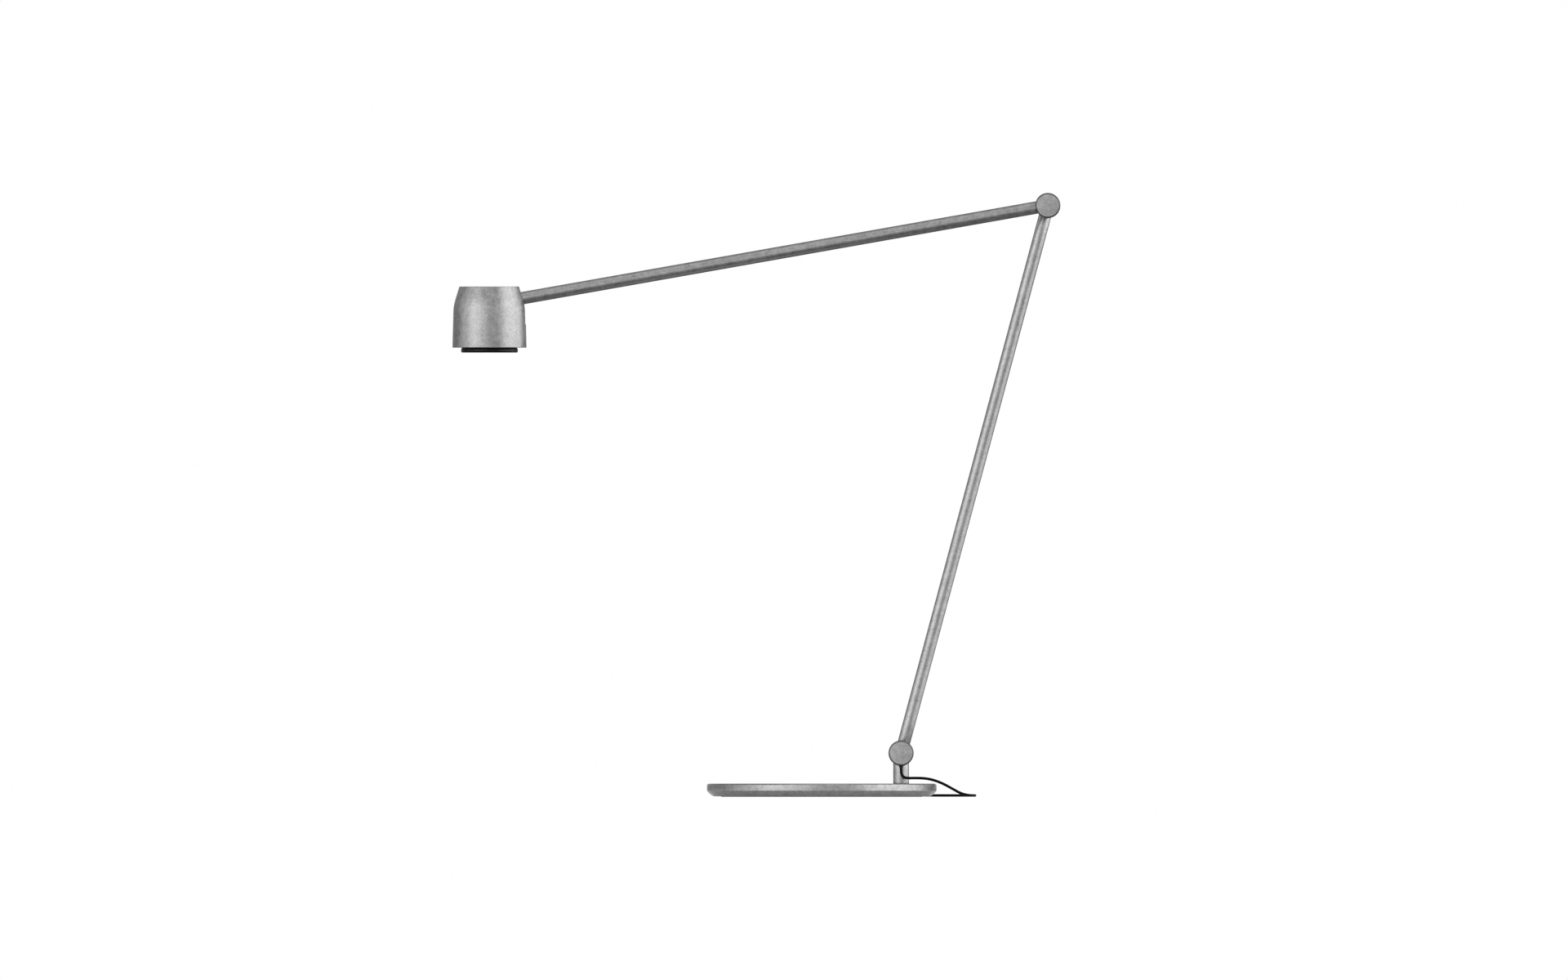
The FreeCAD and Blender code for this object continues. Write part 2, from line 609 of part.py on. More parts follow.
def make_lower_joint():
    bolt_hole = cylinder(d.post_bolt_radius + d.seat_clearance, d.post_bolt_bite + d.seat_clearance,
                         (0, -d.post_bolt_offset, -d.drum_radius))
    gland_hole = cylinder(d.gland_radius + d.seat_clearance, d.drum_radius - d.cavity_radius + d.gland_hole_over,
                          (0, -d.gland_offset, -d.drum_radius))
    make_knuckle("lower_front_knuckle", -1, POST_TOP, extra=(bolt_hole, gland_hole))
    make_cap("lower_front_cap", -1, POST_TOP)
    make_knuckle("lower_rear_knuckle", 1, LOWER_ARM, spigot=1)
    make_cap("lower_rear_cap", 1, LOWER_ARM)
    make_axle_set("lower", POST_TOP)


def make_elbow():
    make_knuckle("elbow_rear_knuckle", 1, LOWER_ARM_END, spigot=-1)
    make_cap("elbow_rear_cap", 1, LOWER_ARM_END)
    make_knuckle("elbow_front_knuckle", -1, UPPER_ARM, spigot=1)
    make_cap("elbow_front_cap", -1, UPPER_ARM)
    make_axle_set("elbow", UPPER_ARM)


# ---------------------------------------------------------------- arms

def make_arm_tube(label, side, frame, end, coped_end):
    """A tube from the hinge at the frame's origin to the far end, coped round the drums it meets."""
    y = side * d.arm_offset
    drum = d.drum_radius + d.cope_gap
    outer = cylinder(d.tube_radius, end, (0, y, 0))
    tools = [cylinder(tube_bore, end, (0, y, 0)), barrel(drum, 0, d.drum_half_width, side)]
    tools.append(grub(side, 1, d.seat_clearance))
    if coped_end:
        tools.append(cylinder(drum, d.drum_half_width, (0, 0, d.arm_pitch), "Y"))
        far = grub(side, 1, d.seat_clearance)
        start = d.tube_radius - d.grub_sink - d.grub_length
        move(far, (start, (d.arm_offset - d.grub_shift) * side, d.arm_pitch - d.grub_along), TURN_TO["X"])
        tools.append(far)
    return piece(label, cut(outer, *tools), frame)


def make_arms():
    make_arm_tube("lower_arm_tube", 1, LOWER_ARM, d.arm_pitch, True)
    near = grub(1, 1)
    far = grub(1, 1)
    far_start = d.tube_radius - d.grub_sink - d.grub_length
    move(far, (far_start, d.arm_offset - d.grub_shift, d.arm_pitch - d.grub_along), TURN_TO["X"])
    piece("lower_arm_set_screws", group([near, far]), LOWER_ARM)

    make_arm_tube("upper_arm_tube", -1, UPPER_ARM, d.arm_pitch - d.arm_stop, False)
    piece("upper_arm_set_screw", grub(-1, 1), UPPER_ARM)


def make_head_eye():
    """The end piece of the upper arm: a spigot in the tube and a flat eye on the tilt pivot."""
    y = -d.arm_offset
    end = d.arm_pitch - d.arm_stop
    spigot_length = d.spigot_end - d.drum_radius
    spigot = cylinder(d.spigot_radius, spigot_length + d.eye_shoulder, (0, y, end - spigot_length))
    shoulder = cylinder(d.tube_radius, d.eye_shoulder, (0, y, end + d.seat_clearance))
    blade = box(d.eye_half_width * 2, d.eye_half_thickness * 2, d.arm_stop,
                (-d.eye_half_width, y - d.eye_half_thickness, end + d.seat_clearance))
    eye = cylinder(d.eye_radius, d.eye_half_thickness * 2, (0, y - d.eye_half_thickness, d.arm_pitch), "Y")
    bore = cylinder(d.pivot_radius + d.running_clearance, d.eye_half_thickness * 2,
                    (0, y - d.eye_half_thickness, d.arm_pitch), "Y")
    wire = cylinder(d.wire_hole_radius, spigot_length + d.arm_stop / 2,
                    (0, -d.wire_hole_offset, end - spigot_length))
    piece("head_eye", cut(fuse(spigot, shoulder, blade, eye), bore, wire), UPPER_ARM)


# ---------------------------------------------------------------- leads inside the lamp

def make_leads():
    """The lead inside: up the post's knuckle, along both arms through the hollow axles, to the driver."""
    gap = d.lead_gap.value
    y, bend = d.lead_offset.value, d.lead_bend.value
    pitch = d.arm_pitch.value
    sweep_round("lower_arm_lead", [(0, gap, 0), (0, y, 0), (0, y, pitch), (0, gap, pitch)],
                d.lead_radius, LOWER_ARM, bend)
    lead_end = pitch - d.arm_stop.value / 2 - d.lead_short.value
    sweep_round("upper_arm_lead", [(0, -gap, 0), (0, -y, 0), (0, -y, lead_end)],
                d.lead_radius, UPPER_ARM, bend)
    thin_from = -(d.cavity_radius - d.lead_short).value
    sweep_round("cord_tail", [(0, -gap, 0), (0, -y, 0), (0, -y, thin_from)], d.lead_radius, POST_TOP, bend)
    board_x = -(d.driver_offset - d.driver_thickness).value
    sweep_round("head_lead", [(board_x + 0.7, -8.0, 3.0), (-11.0, -8.6, 9.0), (-3.0, -9.4, 11.4),
                              (5.0, -9.0, 10.4), (11.0, -8.2, 7.0)], d.lead_radius, HEAD)


# ---------------------------------------------------------------- head

def make_head_shell():
    inner_top = d.head_top_rise - d.head_wall
    outline = [
        (0, inner_top), (d.head_top_radius - d.head_wall * d.head_corner_share, inner_top),
        (d.head_break_radius - d.head_wall, -d.head_break_drop),
        (d.head_mouth_radius - d.head_wall, -d.head_mouth_drop), (d.head_mouth_radius, -d.head_mouth_drop),
        (d.head_break_radius, -d.head_break_drop), (d.head_top_radius, d.head_top_rise),
        (0, d.head_top_rise),
    ]
    shell = turned(outline)
    round_over(shell, d.head_edge_round, [(d.head_top_radius, d.head_top_rise)])
    half = d.tube_radius + d.moving_clearance
    low, high = d.tilt_down - d.upper_droop, d.tilt_up + d.upper_droop
    reach = d.head_mouth_radius + d.slot_reach
    low_start = -half / cosine(low)
    high_start = half / cosine(high)
    slot = [
        (0, low_start), (reach, low_start - reach * sine(low) / cosine(low)),
        (reach, high_start + reach * sine(high) / cosine(high)), (0, high_start),
    ]
    pocket_through(shell, "XZ_Plane", slot, half * 2)
    piece("head_shell", shell, HEAD)


def make_yoke():
    base_bottom = -d.sink_top_drop
    inner = d.eye_half_thickness + d.ear_gap
    outer = inner + d.ear_thickness
    parts = [box(d.yoke_half_length * 2, d.yoke_half_width * 2, d.yoke_base_thickness,
                 (-d.yoke_half_length, -d.yoke_half_width, base_bottom))]
    for side in (-1, 1):
        near = inner if side > 0 else -outer
        parts.append(box(d.ear_half_width * 2, d.ear_thickness, d.sink_top_drop,
                         (-d.ear_half_width, near, base_bottom)))
        parts.append(cylinder(d.ear_half_width, d.ear_thickness, (0, near, 0), "Y"))
    tools = [cylinder(d.pivot_radius + d.seat_clearance, outer * 2, (0, -outer, 0), "Y")]
    screws = []
    for side in (-1, 1):
        x = d.yoke_screw_offset * side
        tools.append(cylinder(d.small_screw_radius + d.seat_clearance, d.yoke_base_thickness, (x, 0, base_bottom)))
        screws.append(screw(d.small_screw_radius, d.small_screw_length, d.small_screw_head_radius,
                            d.small_screw_head_height, (x, 0, base_bottom + d.yoke_base_thickness), up=False))
    piece("pivot_yoke", cut(fuse(*parts), *tools), HEAD)
    piece("yoke_screws", group(screws), HEAD)

    shank = outer * 2 + d.pivot_head_height
    bolt = fuse(cylinder(d.pivot_radius, shank, (0, -outer, 0), "Y"),
                cylinder(d.pivot_head_radius, d.pivot_head_height, (0, -(outer + d.pivot_head_height), 0), "Y"))
    piece("pivot_bolt", bolt, HEAD)
    nut = DOC.addObject("Part::Prism", "nut")
    nut.Polygon = 6
    bind(nut, "Circumradius", d.pivot_head_radius)
    bind(nut, "Height", d.pivot_head_height)
    move(nut, (0, outer, 0), TURN_TO["Y"])
    nut_bore = cylinder(d.pivot_radius + d.seat_clearance, d.pivot_head_height, (0, outer, 0), "Y")
    piece("pivot_nut", cut(nut, nut_bore), HEAD)
    washers = []
    for side in (-1, 1):
        disc = barrel(d.ear_half_width - d.washer_inset, d.eye_half_thickness + d.seat_clearance,
                      inner - d.seat_clearance, side)
        hole = barrel(d.pivot_radius + d.running_clearance, d.eye_half_thickness, inner, side)
        washers.append(cut(disc, hole))
    piece("pivot_washers", group(washers), HEAD)


def make_heat_sink():
    bottom = -d.sink_bottom_drop
    floor_top = bottom + d.sink_base_thickness
    fin_height = d.sink_bottom_drop - d.sink_top_drop
    parts = [cylinder(d.sink_radius, d.sink_base_thickness, (0, 0, bottom)),
             cylinder(d.boss_radius, fin_height, (0, 0, bottom))]
    for index in range(FINS):
        y = d.fin_pitch * (index - (FINS - 1) / 2)
        half = root(d.sink_radius * d.sink_radius - (y + d.fin_thickness) * (y + d.fin_thickness))
        if index < FINS / 2:
            half = root(d.sink_radius * d.sink_radius - (y - d.fin_thickness) * (y - d.fin_thickness))
        parts.append(box(half * 2, d.fin_thickness, fin_height, (-half, y - d.fin_thickness / 2, bottom)))
    leg_bottom = -d.head_mouth_drop + d.plate_recess + d.plate_thickness
    leg_places = list(on_circle(SINK_LEGS, d.sink_leg_circle, 60.0))
    tools, screws = [], []
    for x, y in leg_places:
        parts.append(cylinder(d.sink_leg_radius, floor_top - leg_bottom, (x, y, leg_bottom)))
        tools.append(cylinder(d.small_screw_radius + d.seat_clearance,
                              d.small_screw_length - d.plate_thickness + d.small_screw_head_height,
                              (x, y, leg_bottom)))
        screws.append(screw(d.small_screw_radius, d.small_screw_length - d.small_screw_head_height,
                            d.small_screw_head_radius, d.small_screw_head_height,
                            (x, y, -d.head_mouth_drop + d.plate_recess + d.small_screw_head_height)))
    for side in (-1, 1):
        depth = d.small_screw_length - d.yoke_base_thickness + d.seat_clearance
        tools.append(cylinder(d.small_screw_radius + d.seat_clearance, depth,
                              (d.yoke_screw_offset * side, 0, -d.sink_top_drop - depth)))
    piece("heat_sink", cut(fuse(*parts), *tools), HEAD)

    plate_bottom = -d.head_mouth_drop + d.plate_recess
    plate_radius = d.head_mouth_radius - d.head_wall - d.running_clearance * 2
    plate = ring_about_z(plate_radius, d.plate_bore, plate_bottom, leg_bottom)
    holes = []
    for x, y in leg_places:
        holes.append(cylinder(d.small_screw_radius + d.seat_clearance, d.plate_thickness, (x, y, plate_bottom)))
        holes.append(cylinder(d.small_screw_head_radius + d.running_clearance, d.small_screw_head_height,
                              (x, y, plate_bottom)))
    piece("bottom_plate", cut(plate, *holes), HEAD)
    piece("plate_screws", group(screws), HEAD)


def make_light():
    """The light board with its emitters, the reflector and the lens."""
    board_top = -d.sink_bottom_drop
    board_bottom = board_top - d.board_thickness
    board = turned([(0, board_bottom), (d.board_radius, board_bottom), (d.board_radius, board_top),
                    (0, board_top)])
    piece("light_board", board, HEAD)
    places = [(Size(0), Size(0))] + list(on_circle(CHIPS_ROUND, d.chip_circle))
    half = d.chip_size / 2
    chips = [box(d.chip_size, d.chip_size, d.chip_height, (x - half, y - half, board_bottom - d.chip_height))
             for x, y in places]
    piece("light_chips", group(chips), HEAD)

    mouth = -d.ring_bottom_drop + d.reflector_lip
    ledge = mouth + d.lens_depth
    lens_radius = d.reflector_radius - d.lens_lip
    cone_end = ledge + d.reflector_band
    outline = [
        (d.reflector_throat, board_bottom), (d.reflector_throat + d.reflector_wall, board_bottom),
        (d.reflector_radius, cone_end), (d.reflector_radius, mouth), (lens_radius, mouth),
        (lens_radius, ledge), (lens_radius - d.lens_ledge, ledge),
    ]
    piece("reflector", turned(outline), HEAD)
    lens_top = ledge - d.seat_clearance
    rim = lens_radius - d.seat_clearance
    lens = turned([(0, lens_top - d.lens_thickness), (rim, lens_top - d.lens_thickness), (rim, lens_top),
                   (0, lens_top)])
    piece("lens", lens, HEAD)


def make_driver():
    """The small constant-current driver that stands beside the yoke, on the heat sink."""
    bottom = -d.sink_top_drop + d.seat_clearance
    board = box(d.driver_thickness, d.driver_half_width * 2, d.driver_height,
                (-d.driver_offset, -d.driver_half_width, bottom))
    piece("driver_board", board, HEAD)
    face = -d.driver_offset
    coil_height, coil_radius = 4.0, 4.5
    choke = cylinder(coil_radius, coil_height, (face - coil_height, -4.5, bottom + 7), "X")
    capacitor = cylinder(2.5, 4.6, (face - 4.6, 5.5, bottom + 6), "X")
    chip = box(1.4, 5.0, 4.4, (face - 1.4, -2.5, bottom + 15))
    socket = box(5.0, 7.6, 4.2, (-(d.driver_offset - d.driver_thickness), 1.0, bottom + 18))
    piece("driver_parts", group([choke, capacitor, chip, socket]), HEAD)


def make_dimmer():
    """The black ring that turns under the head, held by a ring pressed on its neck."""
    shoulder = -(d.head_mouth_drop + d.ring_play)
    bottom = -d.ring_bottom_drop
    middle = (shoulder + bottom) / 2
    waist = d.ring_radius - d.ring_groove_deep
    half = d.ring_groove_high / 2
    outline = [
        (d.ring_inner, bottom), (d.ring_radius, bottom), (d.ring_radius, middle - half), (waist, middle - half),
        (waist, middle + half), (d.ring_radius, middle + half), (d.ring_radius, shoulder),
        (d.ring_neck_radius, shoulder), (d.ring_neck_radius, -d.ring_neck_drop), (d.ring_inner, -d.ring_neck_drop),
    ]
    ring = turned(outline)
    round_over(ring, d.ring_edge_round, [(d.ring_radius, bottom)])
    piece("dimmer_ring", ring, HEAD)
    retainer_bottom = -d.head_mouth_drop + d.plate_recess + d.plate_thickness + d.ring_play
    retainer = ring_about_z(d.retainer_radius, d.ring_neck_radius + d.seat_clearance, retainer_bottom,
                            retainer_bottom + d.retainer_thickness)
    piece("ring_retainer", retainer, HEAD)


# ---------------------------------------------------------------- cord

def make_cord_exit():
    """The rubber gland in the underside of the front knuckle and the crimped stop inside it."""
    y = -d.gland_offset
    bottom = -(d.drum_radius + d.gland_proud)
    gland = cylinder(d.gland_radius, d.drum_radius + d.gland_proud - d.gland_end, (0, y, bottom))
    bore = cylinder(d.cord_radius + d.seat_clearance, d.drum_radius + d.gland_proud, (0, y, bottom))
    piece("cord_gland", cut(gland, bore), POST_TOP)
    stop_bottom = -(root(d.cavity_radius * d.cavity_radius - d.clamp_radius * d.clamp_radius)) \
        + d.running_clearance
    stop = cylinder(d.clamp_radius, d.clamp_length, (0, y, stop_bottom))
    stop_bore = cylinder(d.cord_radius + d.seat_clearance, d.clamp_length, (0, y, stop_bottom))
    piece("cord_stop", cut(stop, stop_bore), POST_TOP)
    inner = cylinder(d.cord_radius, d.drum_radius + d.gland_proud - d.cavity_radius + d.inner_end_over,
                     (0, y, bottom))
    piece("cord_inner_end", inner, POST_TOP)


def cord_route():
    """The points of the cord's run and of its end, moved with the base's rim and the gland."""
    grown = d.base_radius.value - ROUTE_BASE_RADIUS
    lifted = (hinge_height - d.drum_radius - d.gland_proud).value - ROUTE_EXIT_HEIGHT
    run = []
    for x, y, z, share in CORD_RUN:
        out = share * grown / math.hypot(x, y)
        run.append((x + x * out, y + y * out, z))
    for index, share in enumerate(ROUTE_EXIT_SHARES):
        x, y, z = run[index]
        run[index] = (x, y, z + share * lifted)
    run += [(x, y + grown, z) for x, y, z in CORD_TO_COIL]
    return run, [(x, y + grown, z) for x, y, z in CORD_END]


def make_cord():
    run, end = cord_route()
    sweep_round("cord", run, d.cord_radius, WORLD)
    sweep_round("cord_end", end, d.cord_radius, WORLD)
    coil_frame = Frame(d.coil_x, d.base_radius + d.coil_gap, 0)
    lift = d.tie_thickness
    top = lift + d.coil_height
    coil = turned([(d.coil_inner, lift), (d.coil_outer, lift), (d.coil_outer, top), (d.coil_inner, top)])
    piece("cord_coil", coil, coil_frame)
    half = d.tie_width / 2
    inner_edge = root(d.coil_inner * d.coil_inner - half * half) - d.running_clearance
    outer_edge = d.coil_outer + d.running_clearance
    band = box(d.tie_width, outer_edge - inner_edge + d.tie_thickness * 2, d.coil_height + d.tie_thickness * 2,
               (-half, inner_edge - d.tie_thickness, 0))
    hole = box(d.tie_width, outer_edge - inner_edge, d.coil_height, (-half, inner_edge, d.tie_thickness))
    piece("cord_tie", cut(band, hole), coil_frame)


def make_plug():
    """A barrel plug that points to -X: moulded housing, metal barrel, insulator inside it."""
    axis_z = d.plug_radius + d.plug_lift
    frame = Frame(d.plug_x, d.base_radius + d.plug_gap, axis_z)
    front = d.plug_relief_length + d.plug_length
    relief = DOC.addObject("Part::Cone", "relief")
    bind(relief, "Radius1", d.plug_relief_radius)
    bind(relief, "Radius2", d.plug_radius - d.relief_shoulder)
    bind(relief, "Height", d.plug_relief_length)
    turn_back = FreeCAD.Rotation(FreeCAD.Vector(0, 1, 0), -90)
    move(relief, (0, 0, 0), turn_back)
    body = cylinder(d.plug_radius, d.plug_length, (-front, 0, 0), "X")
    seat = cylinder(d.barrel_root_radius + d.seat_clearance, d.barrel_seat, (-front, 0, 0), "X")
    piece("plug_housing", cut(fuse(relief, body), seat), frame)
    length = d.barrel_length + d.barrel_seat
    start = -(front + d.barrel_length)
    inner = d.barrel_radius - d.barrel_wall
    flange = cylinder(d.barrel_root_radius, d.barrel_seat, (-front, 0, 0), "X")
    barrel_tube = cut(fuse(cylinder(d.barrel_radius, length, (start, 0, 0), "X"), flange),
                      cylinder(inner, length, (start, 0, 0), "X"))
    piece("plug_barrel", barrel_tube, frame)
    insulator = cut(cylinder(inner - d.seat_clearance, length, (start, 0, 0), "X"),
                    cylinder(d.barrel_bore, length - d.insulator_web, (start, 0, 0), "X"))
    piece("plug_insulator", insulator, frame)


# ---------------------------------------------------------------- build and write

def check_and_write():
    """Refuse a failed object or shape, then write each piece to its own file."""
    DOC.recompute()
    for obj in DOC.Objects:
        if any(word in obj.State for word in ("Invalid", "Error")):
            raise RuntimeError(f"{obj.Name} ({obj.Label}) failed: {obj.State}")
    for obj in PIECES:
        if obj.Shape.isNull() or not obj.Shape.isValid() or not obj.Shape.Solids:
            raise RuntimeError(f"{obj.Label} has no sound shape")
    os.makedirs("parts", exist_ok=True)
    for obj in PIECES:
        obj.Shape.exportStep(os.path.join("parts", f"{obj.Label}.step"))
    print(f"{len(PIECES)} pieces written")


make_base()
make_post()
make_lower_joint()
make_elbow()
make_arms()
make_head_eye()
make_leads()
make_head_shell()
make_yoke()
make_heat_sink()
make_light()
make_driver()
make_dimmer()
make_cord_exit()
make_cord()
make_plug()
check_and_write()
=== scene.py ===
"""Looks of a two-arm desk lamp: raw tumbled aluminium, a black dimmer ring and a thin black cord."""
from __future__ import annotations

import json
import logging
from dataclasses import dataclass, field
from enum import Enum
from math import atan2, cos, hypot, pi, radians, sin, sqrt, tan
from typing import Callable, Iterable, Sequence

import bmesh
import bpy
from bpy.types import ID, Material, Mesh, Node, NodeSocket, NodeTree, Object
from mathutils import Matrix, Vector

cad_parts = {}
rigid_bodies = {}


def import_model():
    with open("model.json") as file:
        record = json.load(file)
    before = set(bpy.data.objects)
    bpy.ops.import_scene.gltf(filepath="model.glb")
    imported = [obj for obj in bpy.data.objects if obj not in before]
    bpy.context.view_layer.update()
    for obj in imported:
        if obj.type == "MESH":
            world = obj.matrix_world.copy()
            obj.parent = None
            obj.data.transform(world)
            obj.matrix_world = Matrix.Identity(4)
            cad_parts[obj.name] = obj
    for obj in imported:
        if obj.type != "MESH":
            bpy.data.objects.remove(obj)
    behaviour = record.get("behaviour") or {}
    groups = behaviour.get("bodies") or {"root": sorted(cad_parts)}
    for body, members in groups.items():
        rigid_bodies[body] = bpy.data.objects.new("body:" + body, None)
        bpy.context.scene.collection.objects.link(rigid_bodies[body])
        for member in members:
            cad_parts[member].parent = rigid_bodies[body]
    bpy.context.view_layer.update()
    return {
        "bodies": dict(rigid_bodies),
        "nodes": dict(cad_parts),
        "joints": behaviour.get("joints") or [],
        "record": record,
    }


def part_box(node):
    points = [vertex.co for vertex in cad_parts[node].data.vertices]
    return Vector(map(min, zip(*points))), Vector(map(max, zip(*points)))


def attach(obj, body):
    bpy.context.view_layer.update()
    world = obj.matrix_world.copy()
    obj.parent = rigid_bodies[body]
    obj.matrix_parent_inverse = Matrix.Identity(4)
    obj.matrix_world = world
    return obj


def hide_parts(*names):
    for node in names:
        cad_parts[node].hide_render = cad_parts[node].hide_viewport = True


MM = 0.001
LOG = logging.getLogger("desk_lamp")

ON_AXIS = 1e-9  # A point closer to the axis than this is on it.
WELD = 1e-7  # Points closer than this are one.
SHARP = radians(40)  # Edges sharper than this stay sharp.
STRAIGHT = radians(4)  # A corner that turns less than this is left alone.
SIDE_SHARE = 0.45  # The most of a side that a rounded corner takes.
WHITE = (1.0, 1.0, 1.0, 1.0)
MODES = ("operation", "interpolation_type", "data_type")  # A node's mode is the first of these that it has.

Colour = tuple[float, float, float, float]
Pair = tuple[float, float]
Outline = list[Pair]
Point = tuple[float, float, float]


class Axis(Enum):
    """The axis that a turned piece is turned about."""

    Y = "Y"
    Z = "Z"


class Side(Enum):
    """The half of a hinge: the front one lies at -Y, the rear one at +Y."""

    FRONT = -1
    REAR = 1


# ---- colours and nodes


def linear(code: str) -> Colour:
    """Turn an sRGB hex colour into a linear one.

    Args:
        code: A hash and six hex digits, such as "#8a8a8a".

    Returns:
        Red, green, blue and alpha as shaders take them.
    """
    values = [int(code[i:i + 2], 16) / 255 for i in (1, 3, 5)]
    red, green, blue = (v / 12.92 if v <= 0.04045 else ((v + 0.055) / 1.055) ** 2.4 for v in values)
    return red, green, blue, 1.0


def add(tree: NodeTree, kind: str, *values: object, **named: object) -> Node:
    """Add a node with its mode, and link or set its inputs.

    Args:
        tree: The node tree.
        kind: The node's type without its first two words, then a dot and its mode where it needs one.
        *values: For the inputs in use, in order, a node or socket to link or a value to set.
        **named: The same for inputs by name, with underscores for spaces.

    Returns:
        The new node.
    """
    kind, _, mode = kind.partition(".")
    geometry = hasattr(bpy.types, "GeometryNode" + kind)
    node = tree.nodes.new(("GeometryNode" if geometry else "ShaderNode") + kind)
    if mode:
        setattr(node, next(key for key in MODES if hasattr(node, key)), mode)
    inputs = [socket for socket in node.inputs if socket.enabled]
    by_name = ((next(s for s in inputs if s.name == key.replace("_", " ")), named[key]) for key in named)
    for socket, value in (*zip(inputs, values), *by_name):
        if isinstance(value, Node):
            value = next(output for output in value.outputs if output.enabled)
        if isinstance(value, NodeSocket):
            tree.links.new(value, socket)
        else:
            socket.default_value = value
    return node


def new_material(name: str) -> tuple[Material, NodeTree, NodeSocket]:
    """Make an empty material.

    Args:
        name: The material's name.

    Returns:
        The material, its tree and the object coordinates.
    """
    material = bpy.data.materials.new(name)
    material.use_nodes = True
    material.node_tree.nodes.clear()
    return material, material.node_tree, add(material.node_tree, "TexCoord").outputs["Object"]


def per_metre(size_mm: float) -> float:
    """The noise scale whose features are about this many millimetres across."""
    return 1000.0 / size_mm


# ---- finishes


@dataclass(frozen=True)
class TumbledAluminium:
    """Raw aluminium, bead-tumbled after machining and left uncoated.

    Tumbling gives a soft satin sheen with cloudy patches a few millimetres wide, where the skin is
    a little more or less burnished, and a fine peened grain over them.
    """

    name: str = "tumbled_aluminium"
    dark: str = "#b4b4b4"
    light: str = "#dedede"
    contrast: Pair = (0.34, 0.66)
    burnish: Pair = (0.3, 0.7)
    roughness: Pair = (0.27, 0.38)
    cloud_mm: float = 5.0
    patch_mm: float = 1.7
    grain_mm: float = 0.55
    wave_depth_mm: float = 0.05
    grain_depth_mm: float = 0.006

    def build(self) -> Material:
        """Build the material."""
        material, tree, place = new_material(self.name)
        cloud, patch, grain = (
            add(tree, "TexNoise", Vector=place, Scale=per_metre(size), Detail=detail, Roughness=roughness)
            for size, detail, roughness in ((self.cloud_mm, 3.0, 0.55), (self.patch_mm, 2.0, 0.5),
                                            (self.grain_mm, 2.0, 0.5)))
        both = add(tree, "Mix", 0.5, cloud, patch)
        spread = add(tree, "MapRange", both, *self.contrast)
        tone = add(tree, "Mix.RGBA", spread, linear(self.dark), linear(self.light))
        rough = add(tree, "MapRange", cloud, *self.burnish, *self.roughness)
        wave = add(tree, "Bump", Distance=self.wave_depth_mm * MM, Height=both)
        fine = add(tree, "Bump", Distance=self.grain_depth_mm * MM, Height=grain, Normal=wave)
        shader = add(tree, "BsdfPrincipled", tone, Metallic=1.0, Roughness=rough, Normal=fine)
        add(tree, "OutputMaterial", shader)
        return material


def even_skin(name: str, tones: tuple[Colour, Colour], roughness: Pair, grain: Pair, cloud: Pair,
              **inputs: float) -> Material:
    """Build an even skin, whose tone and roughness drift a little, with a fine grain.

    Args:
        name: The material's name.
        tones: The base colour where the drift is low and where it is high.
        roughness: The roughness there.
        grain: The grain's size and depth, in millimetres.
        cloud: The drift's size in millimetres, and its detail.
        **inputs: Other inputs of the shader.

    Returns:
        The material.
    """
    material, tree, place = new_material(name)
    fine = add(tree, "TexNoise", Vector=place, Scale=per_metre(grain[0]))
    broad = add(tree, "TexNoise", Vector=place, Scale=per_metre(cloud[0]), Detail=cloud[1])
    tone = add(tree, "Mix.RGBA", broad, *tones)
    rough = add(tree, "MapRange", broad, To_Min=roughness[0], To_Max=roughness[1])
    bump = add(tree, "Bump", Distance=grain[1] * MM, Height=fine)
    shader = add(tree, "BsdfPrincipled", tone, Roughness=rough, Normal=bump, **inputs)
    add(tree, "OutputMaterial", shader)
    return material


@dataclass(frozen=True)
class MachinedMetal:
    """Turned or milled metal, such as zinc-plated steel: fine tool lines over an even tone."""

    name: str
    colour: str
    roughness: float
    lines: Pair = (0.5, 0.004)
    stain: Pair = (6.0, 2.0)
    shade: float = 0.82
    drift: Pair = (-0.06, 0.08)

    def build(self) -> Material:
        """Build the material."""
        red, green, blue, alpha = linear(self.colour)
        darker = (red * self.shade, green * self.shade, blue * self.shade, alpha)
        low, high = (self.roughness + drift for drift in self.drift)
        return even_skin(self.name, (darker, linear(self.colour)), (low, high), self.lines, self.stain,
                         Metallic=1.0)


@dataclass(frozen=True)
class MouldedPolymer:
    """Moulded plastic or rubber: an even colour with slight clouding and a spark-eroded grain."""

    name: str
    colour: str
    roughness: float
    grain_mm: float = 0.4
    depth_mm: float = 0.008
    haze: Pair = (9.0, 3.0)
    lift: float = 0.01
    drift: Pair = (0.85, 1.15)
    ior: float = 1.5
    subsurface: float = 0.0
    scatter_mm: float = 1.5
    transmission: float = 0.0
    specular: float = 0.5

    def build(self) -> Material:
        """Build the material."""
        red, green, blue = (c + (1 - c) * self.lift for c in linear(self.colour)[:3])
        low, high = (min(1.0, self.roughness * drift) for drift in self.drift)
        return even_skin(self.name, (linear(self.colour), (red, green, blue, 1.0)), (low, high),
                         (self.grain_mm, self.depth_mm), self.haze, IOR=self.ior,
                         Subsurface_Weight=self.subsurface, Subsurface_Scale=self.scatter_mm * MM,
                         Transmission_Weight=self.transmission, Specular_IOR_Level=self.specular)


